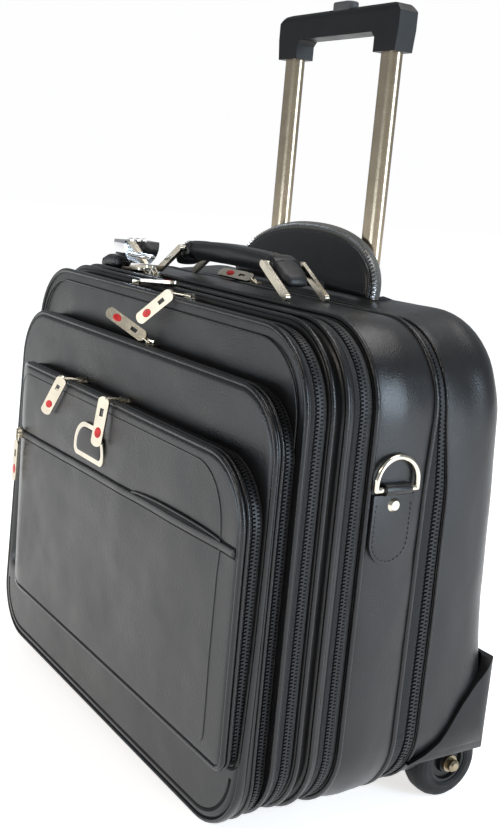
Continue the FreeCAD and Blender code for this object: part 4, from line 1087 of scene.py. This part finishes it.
def enamel_patch(name, knee, tip, flat, body):
    """Red oval in both faces of a puller near its tip; flat is a direction across those faces."""
    knee, tip = Vector(knee), Vector(tip)
    run = (tip - knee).normalized()
    across = Vector(flat)
    across = (across - run * across.dot(run)).normalized()
    out = run.cross(across)
    centre = knee.lerp(tip, 0.8)
    half_long, half_wide = 4.6, 2.9
    verts, faces = [], []
    for side in (-1, 1):
        base = len(verts)
        for scale, lift in ((1.0, 0.9), (0.93, 1.28), (0.6, 1.42)):
            for s in range(20):
                turn = 2 * math.pi * s / 20
                along = run * (half_long * scale * math.cos(turn))
                place = centre + along + across * (half_wide * scale * math.sin(turn))
                verts.append(tuple(place + out * lift * side))
        for r in range(2):
            for s in range(20):
                a, b = base + r * 20 + s, base + r * 20 + (s + 1) % 20
                faces.append((a, b, b + 20, a + 20))
        faces.append(tuple(base + s for s in range(20)))
        faces.append(tuple(base + 40 + s for s in range(20)))
    new_object(name, verts, faces, RED, body, "black_plastic")


def make_patches():
    """Enamel on every puller, from the puller's knee and tip and a direction across its faces."""
    low, high = cad("front_zip_right_slider")
    y, z = (low[1] + high[1]) / 2, low[2]
    pulls = (
        ("front_zip_right", (36, y - 13.3, z + 5.3), (9, y - 22.3, z - 16.7), (-0.45, -0.38, 0.81)),
        ("front_zip_left", (-40, y + 1.6, z + 6.5), (-5, y + 9.6, z + 9), (0, 1, 0)),
        ("rear_zip_right", (-31, 26, 366), (-61, 18.5, 367.5), (0, 0.75, 0.66)),
        ("rear_zip_left", (-47, 30, 366), (-87, 31.5, 365.5), (0, 0.75, 0.66)),
        ("mid_zip", (8, -90.7, 322.2), (-26, -103, 335.7), (0.14, 0.52, 0.84)),
        ("small_zip_right", (12, -122.4, 277.3), (5, -123.6, 243), (0.8, 0.58, -0.1)),
        ("small_zip_left", (-67, -122.4, 277.3), (-94, -123.6, 246), (0.8, 0.58, -0.1)),
        ("slash_zip", (-158.6, -122.3, 204), (-162, -121.9, 171), (1, 0, 0)),
    )
    for name, knee, tip, flat in pulls:
        enamel_patch(name + "_enamel", knee, tip, flat, name + "_pull")
    low, high = cad("main_zip_sliders")
    y, z = (low[1] + high[1]) / 2, low[2]
    for index, (x, lift, fall) in enumerate(((-92, 5.4, -2.2), (-77, 9.0, -3.0))):
        knee, tip = (x - 8, y, z + lift), (x - 40, y, z + lift + fall)
        enamel_patch("main_zip_enamel_%d" % index, knee, tip, (0, 1, 0), "main_pull")


def make_zip_end():
    """Folded leather end of the main zip, beside the padlock."""
    rings = []
    for k in range(11):
        x = -172 + 3.5 * k
        shrink = 0.75 if k in (0, 10) else 1.0
        z = 366.4 - 5.5 * smooth_step(155, 175, -x)
        rings.append(soft_section(x, -39, z, 7.5 * shrink, 5.6 * shrink, 0.5, 20))
    solid("main_zip_end", rings, LEATHER_TRIM, "main_zip")


def hinge_cloth(name, y_front, y_rear, z):
    """Cloth strip along the bottom edge that joins two layers."""
    rings = []
    for k in range(29):
        x = -140 + 10 * k
        ring = [(x, y_front + (y_rear - y_front) * s / 12, z - 0.5) for s in range(13)]
        rings.append(ring + [(px, py, pz + 1.0) for px, py, pz in reversed(ring)])
    cloth = solid(name, rings, TAPE, None)
    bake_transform(cloth)


def make_hinge_cloths():
    """The two fabric hinges, of the main lid and of the front flap."""
    hinge_cloth("main_lid_cloth", LID_REAR - 3, GUSSET_FRONT + 3, LOW + 0.6)
    hinge_cloth("front_flap_cloth", PANEL_FRONT, LID_FRONT + 4, LOW + 1.6)


def repaint(node, material):
    """Gives a CAD piece its material, smooth but for its sharp edges."""
    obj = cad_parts[node]
    obj.data.materials.clear()
    obj.data.materials.append(material)
    obj.data.shade_smooth()
    sharpen(obj, 30)


def repaint_frame():
    """Materials of the CAD pieces that show as they are, and the rolled corner guards."""
    for side in ("left", "right"):
        for stage in ("inner", "middle", "outer"):
            repaint("%s_tube_%s" % (stage, side), CHAMPAGNE)
        repaint("tyre_" + side, TYRE)
        repaint("wheel_hub_" + side, HUB)
        soften("corner_guard_" + side, "case", 1.2, GUARD)
        repaint("d_ring_" + side, GOLD_BRIGHT)
        repaint("handle_ring_" + side, GOLD)
    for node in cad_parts:
        if node.endswith(("slider", "sliders", "puller", "pullers")):
            repaint(node, GOLD)
    for node, material in (
        ("wheel_axles", BRASS),
        ("front_feet", GUARD),
        ("grip", GRIP),
        ("release_button", BUTTON),
        ("handle_well", GUARD),
        ("tab_rivets", GOLD_BRIGHT),
        ("badge", GOLD_BRIGHT),
        ("padlock_body", CHROME),
        ("padlock_dials", CHROME),
        ("padlock_shackle", CHROME),
    ):
        repaint(node, material)


make_camera()
make_studio()
repaint_frame()
make_front_flap()
make_main_lid()
make_main_section()
make_rear_section()
make_cover()
make_carry_pad()
make_tabs()
make_patches()
make_zip_end()
make_hinge_cloths()
